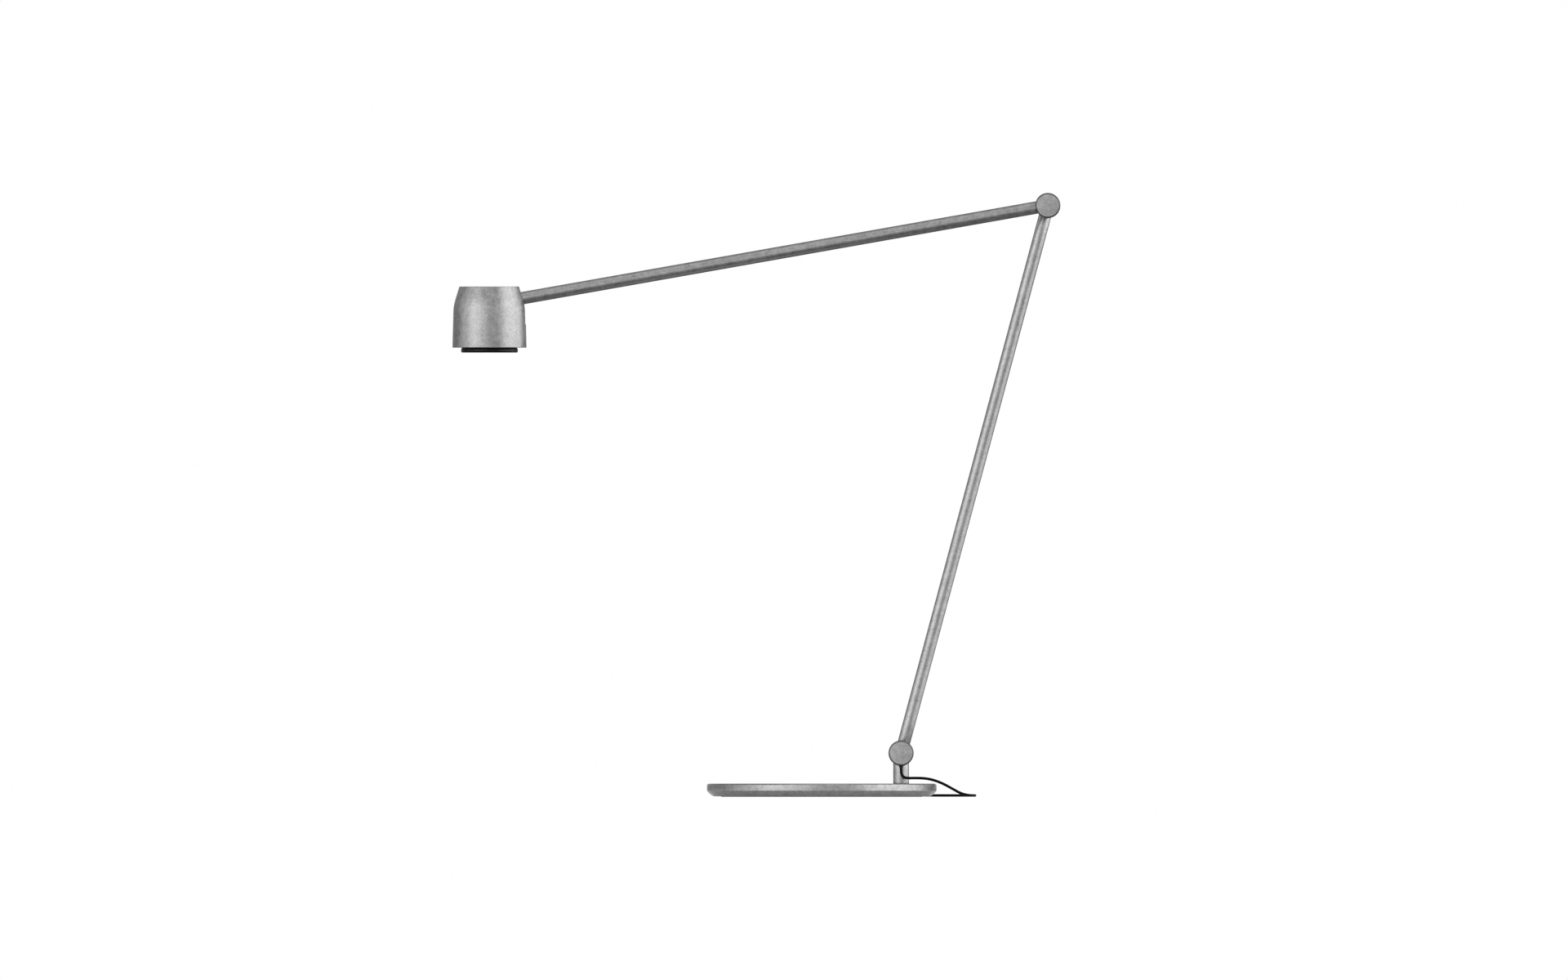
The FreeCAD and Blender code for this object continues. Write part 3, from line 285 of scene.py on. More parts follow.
@dataclass(frozen=True)
class WovenStrap:
    """Black hook-and-loop strap: a dense nap of short loops that scatters light."""

    name: str = "woven_strap"
    colour: str = "#151515"
    tip: str = "#2c2c2c"
    roughness: float = 0.9
    sheen: float = 0.3
    loop_mm: float = 0.7
    depth_mm: float = 0.12

    def build(self) -> Material:
        """Build the material."""
        material, tree, place = new_material(self.name)
        loops = add(tree, "TexVoronoi", Vector=place, Scale=per_metre(self.loop_mm))
        tone = add(tree, "Mix.RGBA", loops, linear(self.colour), linear(self.tip))
        bump = add(tree, "Bump", Distance=self.depth_mm * MM, Height=loops)
        shader = add(tree, "BsdfPrincipled", tone, Roughness=self.roughness, Normal=bump,
                     Sheen_Weight=self.sheen)
        add(tree, "OutputMaterial", shader)
        return material


class Finish(Enum):
    """Every finish on the lamp. Each value builds its own material."""

    ALUMINIUM = TumbledAluminium()
    # The caps' faces, tumbled apart from the drums: the same skin, a little more burnished.
    FACED = TumbledAluminium("tumbled_caps", "#bcbcbc", "#e8e8e8")
    # The cones round the hinges' ends: a duller, darker metal than the tumbled skin, as painted shade for the
    # dark line round the drums' rims.
    SHADED_EDGE = MachinedMetal("painted_shade_edge", "#9a9a9a", 0.34)
    # Milled aluminium of the hidden parts: brighter and crisper than the tumbled skin.
    MILLED = MachinedMetal("milled_aluminium", "#c9cacb", 0.28)
    # Zinc plate on steel: cool and slightly blue.
    ZINC = MachinedMetal("zinc_plated_steel", "#a9acb0", 0.34)
    # Black oxide on screws: dark, with a dull oily shine.
    BLACK_OXIDE = MachinedMetal("black_oxide_steel", "#3a3a3c", 0.38)
    # Nickel plate on the plug's barrel: warm white and bright.
    NICKEL = MachinedMetal("nickel_plated_brass", "#cfcac0", 0.18)
    # Polished ABS of the ring: near-black with clear highlights.
    GLOSS_BLACK = MouldedPolymer("gloss_black_abs", "#020202", 0.12, depth_mm=0.002, specular=0.4)
    # Soft PVC cord sheath: black with a broad satin highlight.
    SHEATH = MouldedPolymer("black_pvc_sheath", "#030303", 0.42, grain_mm=0.6, depth_mm=0.006, specular=0.1)
    # Moulded rubber of gland and pad: black and matt.
    RUBBER = MouldedPolymer("black_rubber", "#141414", 0.72, grain_mm=0.5, depth_mm=0.02)
    # Matt black ABS of the plug: spark-eroded texture.
    PLUG = MouldedPolymer("matt_black_abs", "#101010", 0.5, grain_mm=0.35, depth_mm=0.012)
    # Acetal of the friction washers: waxy off-white.
    ACETAL = MouldedPolymer("natural_acetal", "#dcdad2", 0.4, subsurface=0.1)
    # Opal acrylic of the lens: milky, lets light in and scatters it.
    OPAL = MouldedPolymer("opal_acrylic", "#eeeeea", 0.28, subsurface=0.35, transmission=0.15, depth_mm=0.002)
    # White polycarbonate of the reflector: bright and glossy.
    WHITE = MouldedPolymer("white_polycarbonate", "#ededea", 0.25, depth_mm=0.002)
    # Green solder resist on the driver board.
    RESIST = MouldedPolymer("green_solder_resist", "#1f5a38", 0.3, depth_mm=0.004)
    # White solder resist on the light board.
    WHITE_RESIST = MouldedPolymer("white_solder_resist", "#e6e6e0", 0.4, depth_mm=0.004)
    # Phosphor over the emitters: warm yellow.
    PHOSPHOR = MouldedPolymer("phosphor", "#e3c25a", 0.45, subsurface=0.2)
    # Epoxy bodies of the driver's parts: dark grey.
    EPOXY = MouldedPolymer("dark_epoxy", "#26272a", 0.45)
    STRAP = WovenStrap()


# ---- meshes


def softened(points: Sequence[Pair], radius: float, steps: int = 5,
             wide: dict[int, float] | None = None) -> Outline:
    """Round the corners of a closed outline, except those on the axis.

    Args:
        points: The outline's corners, as (radius, height).
        radius: The corners' radius, limited by the sides beside each one.
        steps: Chords in each rounded corner.
        wide: Corners with a radius of their own, by index.

    Returns:
        The outline with an arc in place of each corner.
    """
    result: Outline = []
    for index, corner in enumerate(points):
        here = Vector(corner)
        back, on = Vector(points[index - 1]) - here, Vector(points[(index + 1) % len(points)]) - here
        turn = pi - back.angle(on)
        if corner[0] < ON_AXIS or turn < STRAIGHT:
            result.append(corner)
            continue
        own = (wide or {}).get(index, radius)
        setback = min(own * tan(turn / 2), SIDE_SHARE * back.length, SIDE_SHARE * on.length)
        first, last = here + back.normalized() * setback, here + on.normalized() * setback
        for step in range(steps + 1):
            t = step / steps
            point = first * (1 - t) ** 2 + here * 2 * t * (1 - t) + last * t ** 2
            result.append((point.x, point.y))
    return result


def circle(radius: float, count: int) -> Outline:
    """Points spread evenly round a circle."""
    angles = (2 * pi * step / count for step in range(count))
    return [(radius * cos(angle), radius * sin(angle)) for angle in angles]


def linked(name: str, data: ID) -> Object:
    """A new object in the scene, at the origin, with this data."""
    obj = bpy.data.objects.new(name, data)
    bpy.context.scene.collection.objects.link(obj)
    return obj


def shade(mesh: Mesh) -> None:
    """Shade a mesh smooth between its sharp edges."""
    mesh.shade_smooth()
    mesh.set_sharp_from_angle(angle=SHARP)


def finish_mesh(mesh: Mesh, place: Matrix) -> None:
    """Weld a mesh, turn its faces outwards, move it to its place and shade it.

    Args:
        mesh: The mesh, in a frame of its own.
        place: Where that frame is in the lamp.
    """
    work = bmesh.new()
    work.from_mesh(mesh)
    bmesh.ops.remove_doubles(work, verts=work.verts, dist=WELD)
    bmesh.ops.recalc_face_normals(work, faces=work.faces)
    work.to_mesh(mesh)
    work.free()
    mesh.transform(place)
    shade(mesh)


def solid(name: str, verts: Sequence[Point], faces: Sequence[tuple[int, ...]], place: Matrix) -> Object:
    """Make an object from points and faces.

    Args:
        name: The object's name.
        verts: The points, in a frame of their own.
        faces: The faces, as point numbers.
        place: Where that frame is.

    Returns:
        The object, with its place in its mesh.
    """
    mesh = bpy.data.meshes.new(name)
    mesh.from_pydata(verts, [], faces)
    finish_mesh(mesh, place)
    return linked(name, mesh)


def lofted(name: str, rings: Sequence[Sequence[Point]], place: Matrix) -> Object:
    """Join each closed ring of points to the next, and the last to the first.

    Args:
        name: The object's name.
        rings: Rings of equally many points, or of one point where the mesh meets its axis.
        place: Where the rings' frame is.

    Returns:
        The closed object.
    """
    verts = [point for ring in rings for point in ring]
    starts = [sum(map(len, rings[:i])) for i in range(len(rings))]
    spans = [range(start, start + len(ring)) for start, ring in zip(starts, rings)]
    count = max(map(len, rings))
    faces = []
    for one, two in zip(spans, spans[1:] + spans[:1]):
        if len(one) == len(two) == 1:
            continue
        for step in range(count):
            nxt = (step + 1) % count
            quad = one[step % len(one)], two[step % len(two)], two[nxt % len(two)], one[nxt % len(one)]
            faces.append(tuple(dict.fromkeys(quad)))
    return solid(name, verts, faces, place)


def turned(name: str, outline: Outline, place: Matrix, axis: Axis = Axis.Z, segments: int = 192) -> Object:
    """Turn a closed outline about an axis.

    Args:
        name: The object's name.
        outline: Points as (radius, place along the axis), in metres.
        place: Where the axis' origin is.
        axis: The axis.
        segments: Facets round the piece.

    Returns:
        The turned object.
    """
    rings = []
    for radius, along in outline:
        ring = circle(radius, segments if radius > ON_AXIS else 1)
        rings.append([(x, y, along) if axis is Axis.Z else (x, along, y) for x, y in ring])
    return lofted(name, rings, place)


def tube_between(name: str, outer: float, inner: float,
                 ends: tuple[Callable[[float], float], Callable[[float], float]], place: Matrix,
                 edge: float, rows: int = 24) -> Object:
    """A tube along Z whose ends follow a rule, with softened edges.

    Args:
        name: The object's name.
        outer: Outer radius.
        inner: Inner radius.
        ends: For the near and the far end, the height as a function of x.
        place: Where the tube's frame is.
        edge: How far the end edges are rounded.
        rows: Rows of faces along it.

    Returns:
        The tube.
    """
    near, far = ends
    cut = edge * (1 - sqrt(0.5))
    lip = [(inner, edge), (inner + cut, cut), (inner + edge, 0.0), (outer - edge, 0.0), (outer - cut, cut),
           (outer, edge)]
    levels = [(radius, lambda x, s=sink: near(x) + s) for radius, sink in lip]
    levels += [(outer, lambda x, t=row / rows: (near(x) + edge) * (1 - t) + (far(x) - edge) * t)
               for row in range(1, rows)]
    levels += [(radius, lambda x, s=sink: far(x) - s) for radius, sink in reversed(lip)]
    rings = [[(x, y, height(x)) for x, y in circle(radius, 96)] for radius, height in levels]
    return lofted(name, rings, place)


def prism(name: str, outline: Outline, half: float, place: Matrix) -> Object:
    """Carry an outline in XZ to both sides along Y.

    Args:
        name: The object's name.
        outline: Points as (x, z).
        half: How far it reaches to each side.
        place: Where its frame is.

    Returns:
        The closed object.
    """
    count = len(outline)
    verts = [(x, side * half, z) for side in (-1, 1) for x, z in outline]
    faces = [tuple(range(count)), tuple(range(2 * count - 1, count - 1, -1))]
    faces += [(i, (i + 1) % count, count + (i + 1) % count, count + i) for i in range(count)]
    return solid(name, verts, faces, place)


def settle(obj: Object) -> None:
    """Turn an object's modifiers into plain mesh.

    Args:
        obj: The object, which keeps its name.
    """
    bpy.context.view_layer.update()
    mesh = bpy.data.meshes.new_from_object(obj.evaluated_get(bpy.context.evaluated_depsgraph_get()))
    obj.modifiers.clear()
    obj.data = mesh


def cut_from(obj: Object, cutter: Object) -> None:
    """Cut one closed mesh from another.

    Args:
        obj: What is cut.
        cutter: What cuts it, and is then removed.
    """
    modifier = obj.modifiers.new("cut", "BOOLEAN")
    modifier.operation, modifier.solver, modifier.object = "DIFFERENCE", "EXACT", cutter
    settle(obj)
    shade(obj.data)
    bpy.data.objects.remove(cutter)


def joined(name: str, parts: Iterable[Object]) -> Object:
    """Join meshes that are one piece.

    Args:
        name: The piece's name.
        parts: The meshes' objects, which are removed.

    Returns:
        The piece.
    """
    work = bmesh.new()
    for part in parts:
        work.from_mesh(part.data)
        bpy.data.objects.remove(part)
    mesh = bpy.data.meshes.new(name)
    work.to_mesh(mesh)
    work.free()
    shade(mesh)
    return linked(name, mesh)


# ---- geometry-node trees


class Recipe:
    """A geometry-node tree with named inputs that is run once on an empty mesh."""

    def __init__(self, name: str, **sizes: float) -> None:
        """Make the tree with its output and inputs.

        Args:
            name: The tree's name.
            **sizes: The tree's inputs and the values they are run with.
        """
        self.tree = bpy.data.node_groups.new(name, "GeometryNodeTree")
        face = self.tree.interface
        face.new_socket("Geometry", in_out="OUTPUT", socket_type="NodeSocketGeometry")
        for key, value in sizes.items():
            kind = "NodeSocketInt" if isinstance(value, int) else "NodeSocketFloat"
            face.new_socket(key, in_out="INPUT", socket_type=kind)
        face.new_socket("finish", in_out="INPUT", socket_type="NodeSocketMaterial")
        self.size = self.tree.nodes.new("NodeGroupInput").outputs
        self._values: dict[str, object] = dict(sizes)

    def node(self, kind: str, *values: object, **named: object) -> Node:
        """Add a node to the tree."""
        return add(self.tree, kind, *values, **named)

    def run(self, name: str, geometry: Node, place: Matrix, finish: Material) -> Object:
        """Close the tree, run it and keep the result as a plain mesh.

        Args:
            name: The piece's name.
            geometry: The node whose geometry the piece is.
            place: Where the tree's frame is.
            finish: The piece's material.

        Returns:
            The piece.
        """
        real = self.node("RealizeInstances", geometry)
        dressed = self.node("SetMaterial", real, Material=self.size["finish"])
        self.tree.links.new(dressed.outputs[0], self.tree.nodes.new("NodeGroupOutput").inputs[0])
        holder = linked(name, bpy.data.meshes.new(name))
        modifier = holder.modifiers.new("recipe", "NODES")
        modifier.node_group = self.tree
        values = {**self._values, "finish": finish}
        for item in self.tree.interface.items_tree:
            if item.in_out == "INPUT":
                modifier[item.identifier] = values[item.name]
        settle(holder)
        finish_mesh(holder.data, place)
        holder.data.materials.clear()
        holder.data.materials.append(finish)
        return holder


# ---- the lamp's frames


def pitch_of(start: Vector, end: Vector) -> float:
    """The distance between two hinge centres, seen along Y."""
    return hypot(end.x - start.x, end.z - start.z)


def arm_frame(start: Vector, end: Vector) -> Matrix:
    """A frame at start whose Z runs to end in the XZ plane and whose Y stays Y."""
    lean = atan2((end - start).x, (end - start).z)
    return Matrix.Translation(Vector((start.x, 0, start.z))) @ Matrix.Rotation(lean, 4, "Y")


@dataclass
class Layout:
    """The hinge centres, read from the frame, and the frames that pieces are built in."""

    lower: Vector
    elbow: Vector
    pivot: Vector

    def __post_init__(self) -> None:
        """Lay the frames of the post, the arms and the head."""
        self.arm_offset = -self.pivot.y
        self.lower_pitch = pitch_of(self.lower, self.elbow)
        self.upper_pitch = pitch_of(self.elbow, self.pivot)
        self.post_top = Matrix.Translation(self.lower)
        self.lower_arm = arm_frame(self.lower, self.elbow)
        self.lower_arm_end = self.lower_arm @ Matrix.Translation((0, 0, self.lower_pitch))
        self.upper_arm = arm_frame(self.elbow, self.pivot)
        self.head = Matrix.Translation(self.pivot)


@dataclass
class Workshop:
    """What every sub-assembly builds with: the frames, the CAD nodes, and each finish's one material."""

    layout: Layout
    nodes: dict[str, Object]
    made: dict[Finish, Material] = field(default_factory=dict)

    def material(self, finish: Finish) -> Material:
        """The material of a finish, built on first use."""
        if finish not in self.made:
            self.made[finish] = finish.value.build()
        return self.made[finish]

    def dress(self, obj: Object, finish: Finish) -> None:
        """Put one finish over the whole of an object."""
        obj.data.materials.clear()
        obj.data.materials.append(self.material(finish))

    def stand(self, piece: Object, body: str, *nodes: str, finish: Finish | None = None) -> None:
        """Finish a piece, let it ride on its body and stand for CAD nodes.

        Args:
            piece: The piece.
            body: The body that it rides on.
            *nodes: The CAD nodes that it stands for.
            finish: Its finish, if it has none yet.
        """
        if finish is not None:
            self.dress(piece, finish)
        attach(piece, body)
        if nodes:
            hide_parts(*nodes)
        LOG.info("%s rides on %s for %s", piece.name, body, ", ".join(nodes) or "nothing")


# ---- base and post


@dataclass
class Base:
    """The round base: a turned shell over a steel weight, a rubber pad and the post."""

    shop: Workshop
    rim_drop: float = 7.2 * MM
    step: float = 0.3 * MM
    under_run: float = 6.4 * MM
    under_bulge: float = 0.55 * MM
    lip: Pair = (0.2 * MM, 0.6 * MM)
    top_wall: float = 3.0 * MM
    weight_gap: float = 1.0 * MM
    lift: float = 0.45 * MM
    edge: float = 2.0 * MM
    post_radius: float = 7.5 * MM
    post_bore: float = 1.2 * MM
    post_edge: float = 0.25 * MM
    saddle_front: float = 12.05 * MM
    saddle_rear: float = 12.4 * MM
    rib_pitch: float = 6.0 * MM
    rib_gap: float = 1.0 * MM
    rib_depth: float = 0.35 * MM
    pad_edge: float = 0.2 * MM

    def build(self) -> None:
        """Build the shell, the pad and the post."""
        self._shell()
        self._pad()
        self._post()

    def _shell(self) -> None:
        """The shell, from its pad's recess round the undercut and the rim to its top."""
        low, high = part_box("base_shell")
        radius, top = high.x, high.z
        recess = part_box("base_weight")[1].x + self.weight_gap
        ceiling, rim = top - self.top_wall, top - self.rim_drop
        # The undercut is a cone, a little full in the middle of its slope.
        foot = Vector((radius - self.step - self.under_run, self.lift))
        brow = Vector((radius - self.step, rim))
        outward = Vector((brow.y - foot.y, foot.x - brow.x)).normalized()
        slope = [foot.lerp(brow, t) + outward * (4 * t * (1 - t) * self.under_bulge)
                 for t in (step / 12 for step in range(13))]
        rounded = [(radius - self.edge * (1 - sin(a)), top - self.edge * (1 - cos(a)))
                   for a in (pi / 2 * (8 - i) / 8 for i in range(9))]
        outline = [(0, ceiling), (recess, ceiling), (recess, low.z), *((p.x, p.y) for p in slope)]
        outline += [(radius - self.step * 0.3, rim + self.lip[0]), (radius, rim + self.lip[1]), *rounded]
        # Rings across the flat top keep its shading even.
        outline += [(radius * part, top) for part in (0.985, 0.9, 0.6, 0.3, 0)]
        shell = turned("base_shell_shaded_edge", outline, Matrix.Identity(4), segments=320)
        self.shop.stand(shell, "base", "base_shell", finish=Finish.ALUMINIUM)

    def _pad(self) -> None:
        """The rubber pad, with rings of shallow ribs that it stands on."""
        low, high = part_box("base_pad")
        outline = [(0.0, low.z)]
        for rib in range(int(high.x / self.rib_pitch), 0, -1):
            middle = high.x - (rib - 0.5) * self.rib_pitch
            outline += [(middle + side * self.rib_gap, low.z + rise * self.rib_depth)
                        for side, rise in ((-1, 0), (-0.6, 1), (0.6, 1), (1, 0))]
        outline += [(high.x - self.pad_edge, low.z), (high.x, low.z + self.pad_edge), (high.x, high.z),
                    (0.0, high.z)]
        pad = turned("base_pad_disc", outline, Matrix.Identity(4))
        self.shop.stand(pad, "base", "base_pad", finish=Finish.RUBBER)

    def _post(self) -> None:
        """The post, coped to the drum that it carries."""
        foot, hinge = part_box("post")[0].z, self.shop.layout.lower
        height = hinge.z - foot

        def saddle(x: float) -> float:
            """The saddle's height over the post's foot."""
            return height - sqrt(self.saddle_front ** 2 - x ** 2)

        post = tube_between("post_shaded_edge", self.post_radius, self.post_bore, (lambda x: 0.0, saddle),
                            Matrix.Translation((hinge.x, 0, foot)), self.post_edge, rows=12)
        for vertex in post.data.vertices:
            if vertex.co.y > 0 and vertex.co.z > foot + height / 2:
                vertex.co.z -= self.saddle_rear - self.saddle_front
        self.shop.stand(post, "base", "post", finish=Finish.ALUMINIUM)


# ---- hinges and arms


@dataclass
class Hinge:
    """One two-knuckle friction hinge: a drum of two halves, each closed by a chamfered cap.

    A spigot is +1 or -1 for one along the half's Z, and 0 for none.
    """

    shop: Workshop
    name: str
    front_frame: Matrix
    rear_frame: Matrix
    front_body: str
    rear_body: str
    front_spigot: int
    rear_spigot: int
    radius: float = 12.0 * MM
    half_width: float = 15.0 * MM
    cap: float = 2.0 * MM
    gap: float = 0.4 * MM
    bore: float = 4.1 * MM
    well: float = 9.5 * MM
    well_floor: float = 6.6 * MM
    soft: float = 0.2 * MM
    edge_in: float = 1.4 * MM
    edge_deep: float = 3.4 * MM
    edge_slack: Pair = (0.1 * MM, 0.3 * MM)
    edge_lean: Pair = (0.15, 0.8)
    spigot_radius: float = 4.95 * MM
    spigot_start: float = 10.0 * MM
    spigot_end: float = 24.0 * MM
    spigot_round: float = 0.5 * MM

    def build(self) -> None:
        """Build both halves and their caps."""
        self._half(Side.FRONT, self.front_frame, self.front_body, self.front_spigot)
        self._half(Side.REAR, self.rear_frame, self.rear_body, self.rear_spigot)

    def _half(self, side: Side, frame: Matrix, body: str, spigot: int) -> None:
        """Build one knuckle with its spigot, and its cap.

        Args:
            side: Front or rear.
            frame: The frame that the half turns with.
            body: The body that it rides on.
            spigot: Its spigot's direction.
        """
        name, sign = f"{self.name}_{side.name.lower()}", side.value
        seat, face = self.half_width - self.cap, self.half_width
        at_seat = self.radius - self.edge_in * (self.edge_deep - self.cap) / self.edge_deep

        def disc(piece: str, corners: Outline) -> Object:
            """Turn a piece whose corners are at a radius and a distance from the middle plane."""
            return turned(piece, [(r, y * sign) for r, y in softened(corners, self.soft)], frame, Axis.Y)

        parts = [disc("drum", [(self.bore, self.gap), (self.radius, self.gap),
                               (self.radius, face - self.edge_deep), (at_seat, seat), (self.well, seat),
                               (self.well, self.well_floor), (self.bore, self.well_floor)])]
        if spigot:
            stem = softened([(0, self.spigot_start), (self.spigot_radius, self.spigot_start),
                             (self.spigot_radius, self.spigot_end), (0, self.spigot_end)], self.spigot_round)
            shift = Matrix.Translation((0, sign * self.shop.layout.arm_offset, 0))
            flip = Matrix.Identity(4) if spigot > 0 else Matrix.Rotation(pi, 4, "Y")
            parts.append(turned("spigot", stem, frame @ shift @ flip, segments=64))
        knuckle = joined(name + "_drum", parts)
        self.shop.stand(knuckle, body, name + "_knuckle", finish=Finish.ALUMINIUM)
        self._paint_shaded_edge(knuckle, sign)
        cap = disc(name + "_cap_disc", [(0, seat), (at_seat, seat), (self.radius - self.edge_in, face),
                                        (0, face)])
        self.shop.stand(cap, body, name + "_cap", finish=Finish.FACED)
        self._paint_shaded_edge(cap, sign)

    def _paint_shaded_edge(self, piece: Object, sign: int) -> None:
        """Paint the cone round a hinge's end with a darker metal, as painted shade along the drum's rim.

        Args:
            piece: A knuckle or a cap, already finished.
            sign: +1 or -1, the end's side along Y.
        """
        piece.data.materials.append(self.shop.material(Finish.SHADED_EDGE))
        middle = self.front_frame.translation
        for face in piece.data.polygons:
            out = hypot(face.center.x - middle.x, face.center.z - middle.z)
            at_end = face.center.y * sign > self.half_width - self.edge_deep - self.edge_slack[0]
            at_rim = out > self.radius - self.edge_in - self.edge_slack[1]
            if at_end and at_rim and self.edge_lean[0] < face.normal.y * sign < self.edge_lean[1]:
                # Painted shade: these rim faces take the darker material.
                face.material_index = 1


@dataclass
class Arms:
    """The two arm tubes, each coped to the drums that it meets."""

    shop: Workshop
    outer: float = 6.0 * MM
    wall: float = 1.0 * MM
    drum: float = 12.05 * MM
    head_stop: float = 20.0 * MM
    edge: float = 0.18 * MM

    def build(self) -> None:
        """Build both tubes."""
        layout = self.shop.layout
        stop = layout.upper_pitch - self.head_stop

        def near(x: float) -> float:
            """The coped end round the drum at the tube's start."""
            return sqrt(self.drum ** 2 - x ** 2)

        for name, frame, shift, far in (
                ("lower_arm", layout.lower_arm, layout.arm_offset, lambda x: layout.lower_pitch - near(x)),
                ("upper_arm", layout.upper_arm, -layout.arm_offset, lambda x: stop)):
            tube = tube_between(name + "_drawn_tube", self.outer, self.outer - self.wall, (near, far),
                                frame @ Matrix.Translation((0, shift, 0)), self.edge)
            self.shop.stand(tube, name, name + "_tube", finish=Finish.ALUMINIUM)


# ---- head


@dataclass
class Head:
    """The head: a turned shell with a slot for the arm, the plate, lens and ring under it."""

    shop: Workshop
    top_radius: float = 28.7 * MM
    top_rise: float = 16.6 * MM
    break_radius: float = 34.2 * MM
    break_drop: float = 1.2 * MM
    break_round: float = 42.0 * MM
    mouth_radius: float = 35.2 * MM
    mouth_drop: float = 41.5 * MM
    wall: float = 1.6 * MM
    edge: float = 0.7 * MM
    slot_half: float = 6.4 * MM
    slot_low: float = 20.0
    slot_high: float = 35.0
    slot_past: float = 5.0 * MM
    plate_bore: float = 26.4 * MM
    plate_edge: float = 0.2 * MM
    screw_rise: float = 0.45 * MM
    lens_rim: tuple[float, float, float] = (1.5 * MM, 1.0 * MM, 0.5 * MM)
    lens_edge: float = 0.15 * MM
    dome_pitch: float = 2.4 * MM
    dome_margin: float = 2.8 * MM
    dome_rise: float = 0.55 * MM
    ring_bore: float = 24.9 * MM
    ring_neck: float = 26.1 * MM
    ring_gap: float = 0.2 * MM
    ring_edge: float = 0.35 * MM
    ring_bulge: float = 0.7 * MM

    @property
    def frame(self) -> Matrix:
        """The head's frame: its axis through the tilt pivot."""
        return self.shop.layout.head

    def build(self) -> None:
        """Build the shell and everything that shows under it."""
        self._shell()
        self._plate()
        self._lens()
        self._ring()
        self._emitters()

    def _extent(self, low: Vector, high: Vector) -> Point:
        """The radius of a box round the head's axis, and its bottom and top from the tilt pivot."""
        drop = self.shop.layout.pivot.z
        return (high.x - low.x) / 2, low.z - drop, high.z - drop

    def _at(self, height: float) -> Matrix:
        """The head's frame, moved up its axis."""
        return self.frame @ Matrix.Translation((0, 0, height))

    def _shell(self) -> None:
        """The turned shell with its slot."""
        top, drop = self.top_rise, -self.mouth_drop
        corners = [
            (0, top - self.wall), (self.top_radius - 0.7 * self.wall, top - self.wall),
            (self.break_radius - self.wall, -self.break_drop), (self.mouth_radius - self.wall, drop),
            (self.mouth_radius, drop), (self.break_radius, -self.break_drop), (self.top_radius, top),
            (self.top_radius * 0.85, top), (self.top_radius * 0.5, top), (0, top),
        ]
        outline = softened(corners, self.edge, wide={5: self.break_round})
        shell = turned("head_shell_shaded_edge", outline, self.frame, segments=256)
        reach = self.mouth_radius + self.slot_past
        low, high = radians(self.slot_low), radians(self.slot_high)
        start_low, start_high = -self.slot_half / cos(low), self.slot_half / cos(high)
        wedge = [(0, start_low), (reach, start_low - reach * tan(low)),
                 (reach, start_high + reach * tan(high)), (0, start_high)]
        cut_from(shell, prism("slot", wedge, self.slot_half, self.frame))
        self.shop.stand(shell, "head", "head_shell", finish=Finish.ALUMINIUM)

    def _plate(self) -> None:
        """The plate that closes the mouth, and its three screws."""
        outer, bottom, top = self._extent(*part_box("bottom_plate"))
        corners = [(self.plate_bore, bottom), (outer, bottom), (outer, top), (self.plate_bore, top)]
        plate = turned("bottom_plate_disc", softened(corners, self.plate_edge), self.frame)
        self.shop.stand(plate, "head", "bottom_plate", finish=Finish.MILLED)
        recipe = Recipe("screw_circle", count=3, circle=30.6 * MM, head=2.3 * MM, height=1.0 * MM,
                        socket=1.15 * MM, sink=-0.5 * MM, start=radians(60))
        node, size = recipe.node, recipe.size
        ring = node("MeshCircle", size["count"], size["circle"])
        spun = node("Transform", ring, Rotation=node("CombineXYZ", Z=size["start"]))
        head = node("MeshCylinder", Vertices=32, Radius=size["head"], Depth=size["height"])
        hole = node("MeshCylinder", Vertices=6, Radius=size["socket"], Depth=size["height"])
        sunk = node("Transform", hole, Translation=node("CombineXYZ", Z=size["sink"]))
        drilled = node("MeshBoolean.DIFFERENCE", head, sunk)
        heads = node("InstanceOnPoints", Points=spun, Instance=drilled)
        screws = recipe.run("plate_screw_heads", heads, self._at(bottom + self.screw_rise),
                            self.shop.material(Finish.BLACK_OXIDE))
        self.shop.stand(screws, "head", "plate_screws")

    def _lens(self) -> None:
        """The opal lens with a field of small domes on its face, in its reflector."""
        radius, bottom, top = self._extent(*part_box("lens"))
        inner, rim, sink = self.lens_rim
        face = bottom + sink
        corners = [(0, face), (radius - inner, face), (radius - rim, bottom), (radius, bottom),
                   (radius, top), (0, top)]
        disc = turned("lens_disc", softened(corners, self.lens_edge), self.frame)
        self.shop.stand(disc, "head", "lens", finish=Finish.OPAL)
        rows = 2 * int(radius / self.dome_pitch) + 1
        recipe = Recipe("lens_domes", pitch=self.dome_pitch, rows=rows, limit=radius - self.dome_margin,
                        dome=1.15 * MM, flatness=0.42)
        node, size = recipe.node, recipe.size
        span = node("Math.MULTIPLY", size["pitch"], float(rows - 1))
        grid = node("MeshGrid", span, span, size["rows"], size["rows"])
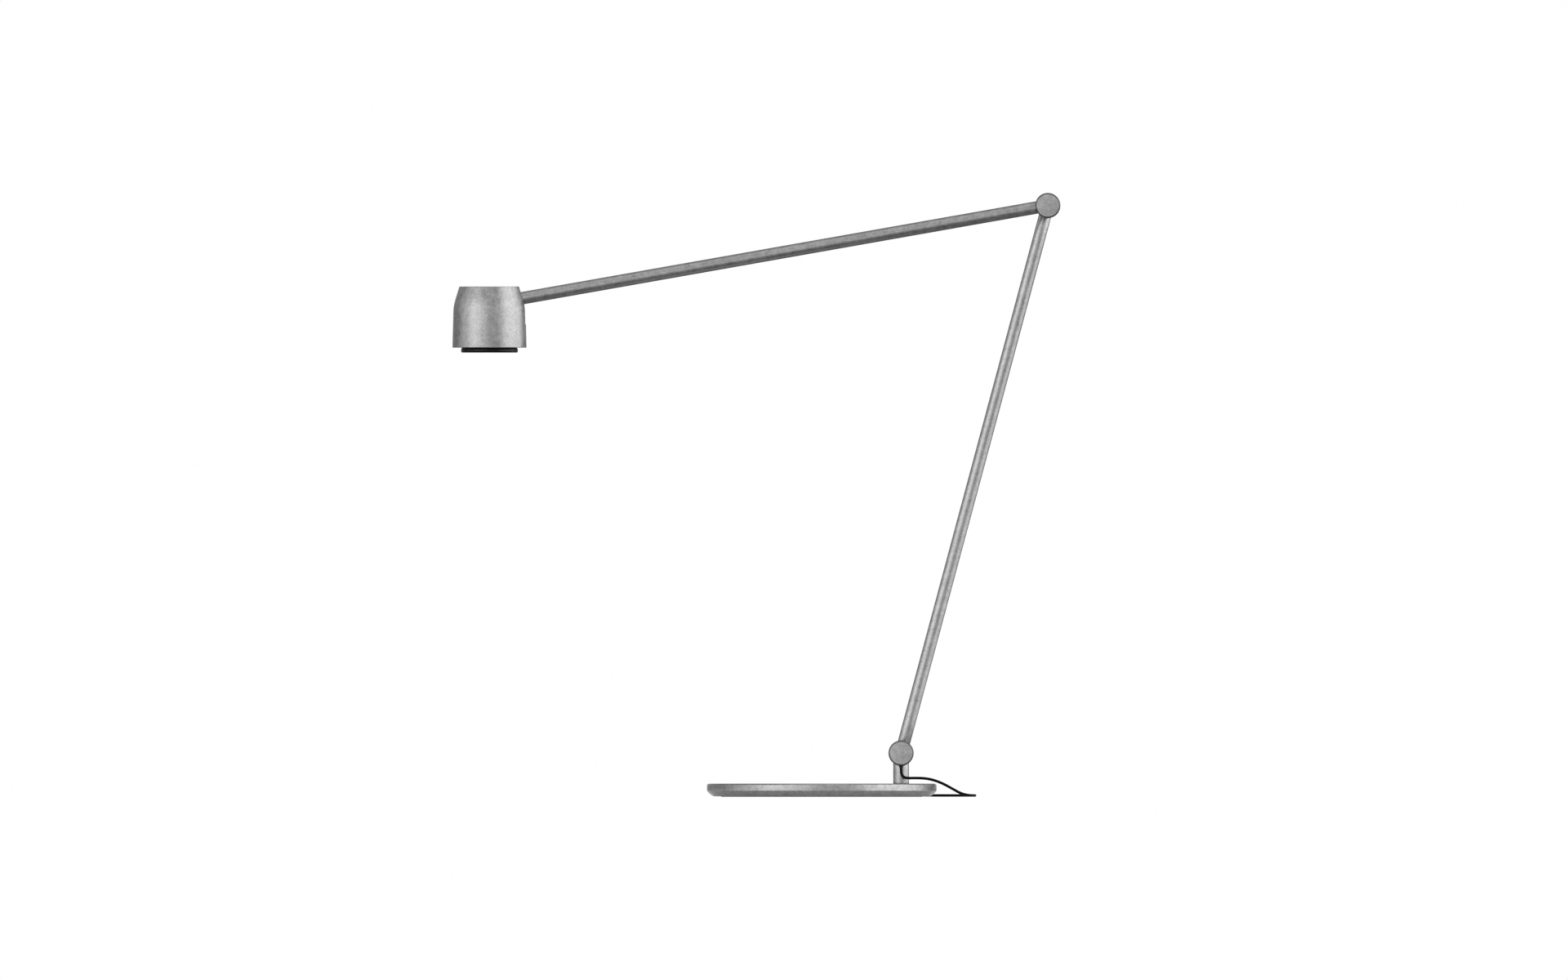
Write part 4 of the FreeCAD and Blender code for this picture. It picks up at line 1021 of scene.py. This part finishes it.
        # Every second row moves half a pitch, and the rows close up, so that the domes pack as hexagons.
        y = node("SeparateXYZ", node("InputPosition")).outputs["Y"]
        row = node("Math.DIVIDE", y, size["pitch"])
        whole = node("Math.ROUND", node("Math.ADD", row, 100.0))
        odd = node("Math.MODULO", whole, 2.0)
        half = node("Math.MULTIPLY", size["pitch"], 0.5)
        shift = node("Math.MULTIPLY", odd, half)
        squeeze = node("Math.MULTIPLY", y, sqrt(0.75) - 1)
        packed = node("SetPosition", grid, Offset=node("CombineXYZ", shift, squeeze))
        reach = node("VectorMath.LENGTH", node("InputPosition"))
        outside = node("Math.GREATER_THAN", reach, size["limit"])
        kept = node("DeleteGeometry", packed, outside)
        dome = node("MeshUVSphere", Segments=12, Rings=8, Radius=size["dome"])
        low_dome = node("Transform", dome, Scale=node("CombineXYZ", 1.0, 1.0, size["flatness"]))
        field_of = node("InstanceOnPoints", Points=kept, Instance=low_dome)
        domes = recipe.run("lens_domes", field_of, self._at(bottom + self.dome_rise),
                           self.shop.material(Finish.OPAL))
        self.shop.stand(domes, "head", "lens")

    def _ring(self) -> None:
        """The black dimmer ring, its outer face a little convex for the fingers."""
        outer, bottom, top = self._extent(*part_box("dimmer_ring"))
        shoulder = -(self.mouth_drop + self.ring_gap)
        middle, half = (bottom + shoulder) / 2, (shoulder - bottom) / 2
        face = [(outer - self.ring_bulge * t * t, middle + half * t) for t in (i / 4 for i in range(-4, 5))]
        corners = [(self.ring_bore, bottom), *face, (self.ring_neck, shoulder), (self.ring_neck, top),
                   (self.ring_bore, top)]
        ring = turned("dimmer_ring_moulded", softened(corners, self.ring_edge), self.frame, segments=256)
        self.shop.stand(ring, "dimmer", "dimmer_ring", finish=Finish.GLOSS_BLACK)

    def _emitters(self) -> None:
        """One emitter in the middle and a ring of six round it."""
        _, bottom, top = self._extent(*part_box("light_chips"))
        recipe = Recipe("emitters", count=6, circle=6.2 * MM, width=2.6 * MM, height=top - bottom)
        node, size = recipe.node, recipe.size
        points = node("JoinGeometry")
        for source in (node("MeshLine", 1), node("MeshCircle", size["count"], size["circle"])):
            recipe.tree.links.new(source.outputs[0], points.inputs[0])
        chip = node("MeshCube", node("CombineXYZ", size["width"], size["width"], size["height"]))
        chips = node("InstanceOnPoints", Points=points, Instance=chip)
        emitters = recipe.run("light_emitters", chips, self._at((bottom + top) / 2),
                              self.shop.material(Finish.PHOSPHOR))
        self.shop.stand(emitters, "head", "light_chips")


# ---- cord


@dataclass
class Cord:
    """The thin black cord: out of the lower drum, over the base, round behind it to a coil and a plug."""

    shop: Workshop
    diameter: float = 2.6 * MM
    length: float = 1.78
    turns_per_layer: int = 4
    layers: int = 4
    points_per_turn: int = 16
    lay_pitch: float = 2.65 * MM
    jog: float = 0.2
    strap: float = 0.8 * MM
    strap_bend: float = 2.2 * MM
    # From the gland to the coil, in millimetres.
    run: Sequence[Point] = (
        (75.3, -10.4, 28.0), (75.3, -10.4, 23.4), (76.6, -10.5, 19.4), (80.6, -10.7, 17.7),
        (88.5, -10.9, 17.9), (97.5, -10.6, 17.7), (106.5, -9.6, 16.0), (115.5, -7.8, 12.4),
        (124.0, -5.0, 7.7), (131.8, -1.0, 3.3), (139.0, 4.6, 1.5), (144.0, 12.6, 1.35),
        (145.9, 24.0, 1.35), (144.6, 39.0, 1.35), (139.0, 55.5, 1.35), (129.5, 70.5, 1.35),
        (116.5, 83.5, 1.35), (101.5, 93.5, 1.4), (85.5, 100.0, 1.7), (76.5, 102.2, 2.0), (68.2, 102.2, 2.1),
    )
    # From the coil to the plug.
    end: Sequence[Point] = (
        (51.7, 102.6, 9.7), (44.0, 104.6, 9.2), (36.8, 109.4, 7.8), (29.4, 113.9, 5.9), (20.9, 116.0, 5.05),
    )

    def build(self) -> None:
        """Build the cord, the strap on its coil and its plug."""
        places = [Vector(p) * MM for p in self.run] + self._coil() + [Vector(p) * MM for p in self.end]
        curve = bpy.data.curves.new("cord_line", "CURVE")
        curve.dimensions = "3D"
        curve.resolution_u = 6
        curve.bevel_depth = self.diameter / 2
        curve.bevel_resolution = 4
        curve.use_fill_caps = True
        spline = curve.splines.new("NURBS")
        spline.points.add(len(places) - 1)
        for point, place in zip(spline.points, places):
            point.co = (*place, 1.0)
        spline.order_u = 3
        spline.use_endpoint_u = True
        cord = linked("cord_sheath", curve)
        self.shop.stand(cord, "base", "cord", "cord_coil", "cord_end", finish=Finish.SHEATH)
        strap = self._strap()
        plug = self._plug()
        self._gland()

    def _coil(self) -> list[Vector]:
        """The coil's control points: layers of turns a cord's width apart, wound out and in by turns.

        Returns:
            The points in winding order, clockwise seen from above, from the side nearest the base.
        """
        low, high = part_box("cord_coil")
        centre = (low + high) / 2
        outer = (high.x - low.x) / 2 - self.diameter / 2
        widen = 1 / cos(pi / self.points_per_turn)
        last = self.turns_per_layer - 1
        total = self.turns_per_layer * self.layers
        points = []
        for index in range(total * self.points_per_turn + 1):
            turn = min(index // self.points_per_turn, total - 1)
            layer, column = divmod(turn, self.turns_per_layer)
            inward = layer % 2 == 0
            # Near the end of each turn the cord steps to the next column, or up to the next layer.
            step = max(0.0, (index / self.points_per_turn - turn - (1 - self.jog)) / self.jog)
            shift = 0.0 if column == last else (step if inward else -step)
            rise = step if column == last and layer < self.layers - 1 else 0.0
            radius = outer - ((column if inward else last - column) + shift) * self.lay_pitch
            angle = -pi / 2 - 2 * pi * (index / self.points_per_turn)
            points.append(Vector((centre.x + widen * radius * cos(angle),
                                  centre.y + widen * radius * sin(angle),
                                  low.z + self.diameter / 2 + (layer + rise) * self.lay_pitch)))
        return points

    def _strap(self) -> Object:
        """The strap round the coil: a closed band with rounded corners."""
        low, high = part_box("cord_tie")
        centre, half = (low + high) / 2, (high - low) / 2
        bend = self.strap_bend
        path = []
        for y, z, start in ((1, 1, 0), (-1, 1, 90), (-1, -1, 180), (1, -1, 270)):
            for angle in (radians(start + 15 * step) for step in range(7)):
                path.append((y * (half.y - bend) + bend * cos(angle),
                             z * (half.z - bend) + bend * sin(angle)))
        rings = []
        for inset, side in ((0.0, -1), (0.0, 1), (self.strap, 1), (self.strap, -1)):
            shrink_y, shrink_z = (half.y - inset) / half.y, (half.z - inset) / half.z
            rings.append([(centre.x + side * half.x, centre.y + y * shrink_y, centre.z + z * shrink_z)
                          for y, z in path])
        strap = lofted("cord_strap", rings, Matrix.Identity(4))
        self.shop.stand(strap, "base", "cord_tie", finish=Finish.STRAP)
        return strap

    def _plug(self) -> list[Object]:
        """The barrel plug: a housing with a ribbed relief, with the barrel and insulator from the frame."""
        low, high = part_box("plug_housing")
        axis = Vector((high.x, (low.y + high.y) / 2, (low.z + high.z) / 2))
        place = Matrix.Translation(axis) @ Matrix.Rotation(-pi / 2, 4, "Y")
        radius, end = (high.y - low.y) / 2, high.x - low.x
        relief, bore, mouth, deep = 10.0 * MM, 1.35 * MM, 2.8 * MM, end - 3 * MM
        corners = [(bore, 0), (2.1 * MM, 0), (3.6 * MM, relief), (radius * 0.93, relief + 0.4 * MM),
                   (radius, relief + 3 * MM), (radius, end - 2.5 * MM), (radius - 0.7 * MM, end),
                   (mouth, end), (mouth, deep), (bore, deep)]
        body = turned("plug_body", softened(corners, 0.5 * MM), place, segments=96)
        self.shop.stand(body, "base", "plug_housing", finish=Finish.PLUG)
        recipe = Recipe("relief_rings", count=5, start=1.2 * MM, pitch=1.75 * MM, near=2.35 * MM,
                        growth=0.27 * MM, section=0.55 * MM)
        node, size = recipe.node, recipe.size
        line = node("MeshLine", size["count"], node("CombineXYZ", Z=size["start"]),
                    node("CombineXYZ", Z=size["pitch"]))
        torus = node("CurveToMesh", node("CurvePrimitiveCircle", 48, size["near"]),
                     node("CurvePrimitiveCircle", 10, size["section"]))
        grown = node("Math.MULTIPLY", node("InputIndex"), size["growth"])
        ratio = node("Math.ADD", 1.0, node("Math.DIVIDE", grown, size["near"]))
        wider = node("CombineXYZ", ratio, ratio, 1.0)
        rings = node("InstanceOnPoints", Points=line, Instance=torus, Scale=wider)
        ribs = recipe.run("plug_relief_rings", rings, place, self.shop.material(Finish.PLUG))
        self.shop.stand(ribs, "base", "plug_housing")
        return [body, ribs, self.shop.nodes["plug_barrel"], self.shop.nodes["plug_insulator"]]

    def _gland(self) -> None:
        """The rubber gland under the drum, with softened edges."""
        low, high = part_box("cord_gland")
        centre, radius = (low + high) / 2, (high.x - low.x) / 2
        bore = self.diameter / 2 + 0.02 * MM
        outline = softened([(bore, low.z), (radius, low.z), (radius, high.z), (bore, high.z)], 0.3 * MM)
        place = Matrix.Translation((centre.x, centre.y, 0))
        gland = turned("cord_gland_moulded", outline, place, segments=64)
        self.shop.stand(gland, "base", "cord_gland", finish=Finish.RUBBER)


# ---- carried-over nodes


CAD_FINISHES: dict[Finish, tuple[str, ...]] = {
    Finish.MILLED: ("heat_sink", "head_eye"),
    Finish.ZINC: (
        "base_weight", "base_screws", "post_bolt", "post_washer", "post_dowel", "lower_axle",
        "lower_axle_nut", "lower_disc_spring", "elbow_axle", "elbow_axle_nut", "elbow_disc_spring",
        "pivot_yoke", "pivot_bolt", "pivot_nut", "pivot_washers", "yoke_screws", "cord_stop", "ring_retainer",
    ),
    Finish.BLACK_OXIDE: ("lower_arm_set_screws", "upper_arm_set_screw"),
    Finish.NICKEL: ("plug_barrel",),
    Finish.PLUG: ("plug_insulator",),
    Finish.SHEATH: ("cord_inner_end", "cord_tail", "lower_arm_lead", "upper_arm_lead", "head_lead"),
    Finish.ACETAL: ("lower_friction_washer", "elbow_friction_washer"),
    Finish.WHITE: ("reflector",),
    Finish.WHITE_RESIST: ("light_board",),
    Finish.RESIST: ("driver_board",),
    Finish.EPOXY: ("driver_parts",),
}


def dress_nodes(shop: Workshop) -> None:
    """Give each CAD node that still shows its finish.

    Args:
        shop: The workshop, with the nodes.
    """
    for finish, names in CAD_FINISHES.items():
        for name in names:
            shop.dress(shop.nodes[name], finish)
            LOG.info("%s keeps its mesh and is finished as %s", name, finish.name.lower())


# ---- studio


def cosine(degrees: float) -> float:
    """The cosine of an angle in degrees."""
    return cos(radians(degrees))


@dataclass
class Softbox:
    """A broad soft light in the studio's dome, as a direction and a spread in degrees."""

    azimuth: float
    elevation: float
    inner: float
    outer: float
    strength: float

    def direction(self) -> Point:
        """The unit vector to the softbox. Azimuth 0 is at -Y and 90 at +X."""
        a, e = radians(self.azimuth), radians(self.elevation)
        return sin(a) * cos(e), -cos(a) * cos(e), sin(e)


@dataclass
class Studio:
    """Camera, pale floor, and a dim dome with softboxes; the background is white."""

    view_width: float = 1.488
    view_from: Point = (-0.0358, -3.0, 0.2912)
    ambient: float = 0.27
    below: float = 0.06
    floor_radius: float = 2.0
    floor_sink: float = 0.1 * MM
    floor_glow: float = 0.76
    # The arms mirror a dim surround below them, so only the floor close to the base gives its white to them.
    floor_in_metal: float = 0.24
    white_floor: Pair = (0.12, 0.21)
    satin_facing: Pair = (0.45, 0.85)
    satin_roughness: float = 0.16
    # The heights between which the dome turns from its dark lower part to its upper one.
    horizon: Pair = (-0.35, 0.12)
    # The white window behind the lamp for mirrored rays, in degrees from straight behind.
    window: Pair = (20, 12)
    # The softboxes to the left, to the right, in front and above.
    boxes: list[Softbox] = field(default_factory=lambda: [
        Softbox(-38, 8, 12, 36, 0.62), Softbox(-68, 8, 8, 46, 0.42), Softbox(80, 8, 20, 54, 0.96),
        Softbox(6, 4, 8, 38, 0.22), Softbox(0, 68, 10, 40, 0.32),
    ])

    def build(self) -> None:
        """Build the camera, the floor and the dome."""
        scene = bpy.context.scene
        data = bpy.data.cameras.new("camera")
        data.type = "ORTHO"
        data.ortho_scale = self.view_width
        scene.camera = linked("camera", data)
        scene.camera.location = self.view_from
        scene.camera.rotation_euler = (pi / 2, 0, 0)
        scene.view_settings.view_transform = "Standard"
        self._floor()
        self._dome()

    def _floor(self) -> None:
        """A pale floor that the camera sees nearly white but that still takes the lamp's shadow."""
        count = 96
        mesh = bpy.data.meshes.new("floor")
        mesh.from_pydata([(x, y, 0) for x, y in circle(self.floor_radius, count)], [], [tuple(range(count))])
        floor = linked("floor", mesh)
        floor.location.z = -self.floor_sink
        material, tree, place = new_material("pale_floor")
        path = add(tree, "LightPath").outputs
        tone = add(tree, "Mix.RGBA", path["Is Glossy Ray"], linear("#bcbcbc"), linear("#909090"))
        matt = add(tree, "BsdfDiffuse", tone)
        seen = add(tree, "Math.MAXIMUM", path["Is Camera Ray"], path["Is Transmission Ray"])
        reach = add(tree, "VectorMath.LENGTH", place)
        near = add(tree, "MapRange.SMOOTHSTEP", reach, *self.white_floor, 1.0, 0.0)
        metal = add(tree, "Math.MULTIPLY", path["Is Glossy Ray"], near)
        mirrored = add(tree, "Math.MULTIPLY", metal, self.floor_in_metal)
        both_ways = add(tree, "Math.ADD", seen, mirrored)
        glow = add(tree, "Emission", WHITE, add(tree, "Math.MULTIPLY", both_ways, self.floor_glow))
        # Satin at a low angle for the light that the lamp's metal mirrors, so that it shows the softboxes.
        lean = add(tree, "LayerWeight", 0.5).outputs["Facing"]
        low = add(tree, "MapRange.SMOOTHSTEP", lean, *self.satin_facing)
        shiny = add(tree, "Math.MULTIPLY", low, path["Is Glossy Ray"])
        # The glossy shader goes by this type's name.
        satin = add(tree, "BsdfAnisotropic", linear("#f0f0f0"), self.satin_roughness)
        sheen = add(tree, "MixShader", shiny, matt, satin)
        add(tree, "OutputMaterial", add(tree, "AddShader", sheen, glow))
        mesh.materials.append(material)

    def _dome(self) -> None:
        """The dome: dim all round, darker below, with the softboxes, and white for the camera."""
        world = bpy.data.worlds.new("studio_dome")
        world.use_nodes = True
        bpy.context.scene.world = world
        tree = world.node_tree
        tree.nodes.clear()
        toward = add(tree, "TexCoord").outputs["Generated"]
        height = add(tree, "SeparateXYZ", toward).outputs["Z"]
        level = add(tree, "MapRange.SMOOTHSTEP", height, *self.horizon, self.below, self.ambient)
        for box in self.boxes:
            match = add(tree, "VectorMath.DOT_PRODUCT", toward, box.direction())
            lobe = add(tree, "MapRange.SMOOTHSTEP", match, cosine(box.outer), cosine(box.inner), 0.0,
                       box.strength)
            level = add(tree, "Math.ADD", level, lobe)
        # The white behind the lamp: all of it for the camera and through clear parts, and for mirrored rays
        # the window straight behind, so that the metal shows it too.
        path = add(tree, "LightPath").outputs
        behind = add(tree, "VectorMath.DOT_PRODUCT", toward, (0, 1, 0))
        window = add(tree, "MapRange.SMOOTHSTEP", behind, *map(cosine, self.window))
        standing = add(tree, "Math.GREATER_THAN", height, 0.0)
        screen = add(tree, "Math.MULTIPLY", window, standing)
        mirrored = add(tree, "Math.MULTIPLY", path["Is Glossy Ray"], screen)
        direct = add(tree, "Math.MAXIMUM", path["Is Camera Ray"], path["Is Transmission Ray"])
        white = add(tree, "Math.MAXIMUM", direct, mirrored)
        sky = add(tree, "Background", WHITE, add(tree, "Mix", white, level, 1.0))
        add(tree, "OutputWorld", sky)


# ---- everything in order


def main() -> None:
    """Load the frame and build the lamp around it."""
    logging.basicConfig(level=logging.INFO, format="%(message)s")
    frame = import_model()
    places = {joint["name"]: Vector(joint["pos_m"]) for joint in frame["joints"]}
    layout = Layout(places["lower_hinge"], places["elbow_hinge"], places["head_tilt"])
    shop = Workshop(layout, frame["nodes"])
    dress_nodes(shop)
    Studio().build()
    Cord(shop).build()
    Base(shop).build()
    Hinge(shop, "lower", layout.post_top, layout.lower_arm, "base", "lower_arm", 0, 1).build()
    Hinge(shop, "elbow", layout.upper_arm, layout.lower_arm_end, "upper_arm", "lower_arm", 1, -1).build()
    Arms(shop).build()
    Head(shop).build()


if __name__ == "__main__":
    main()
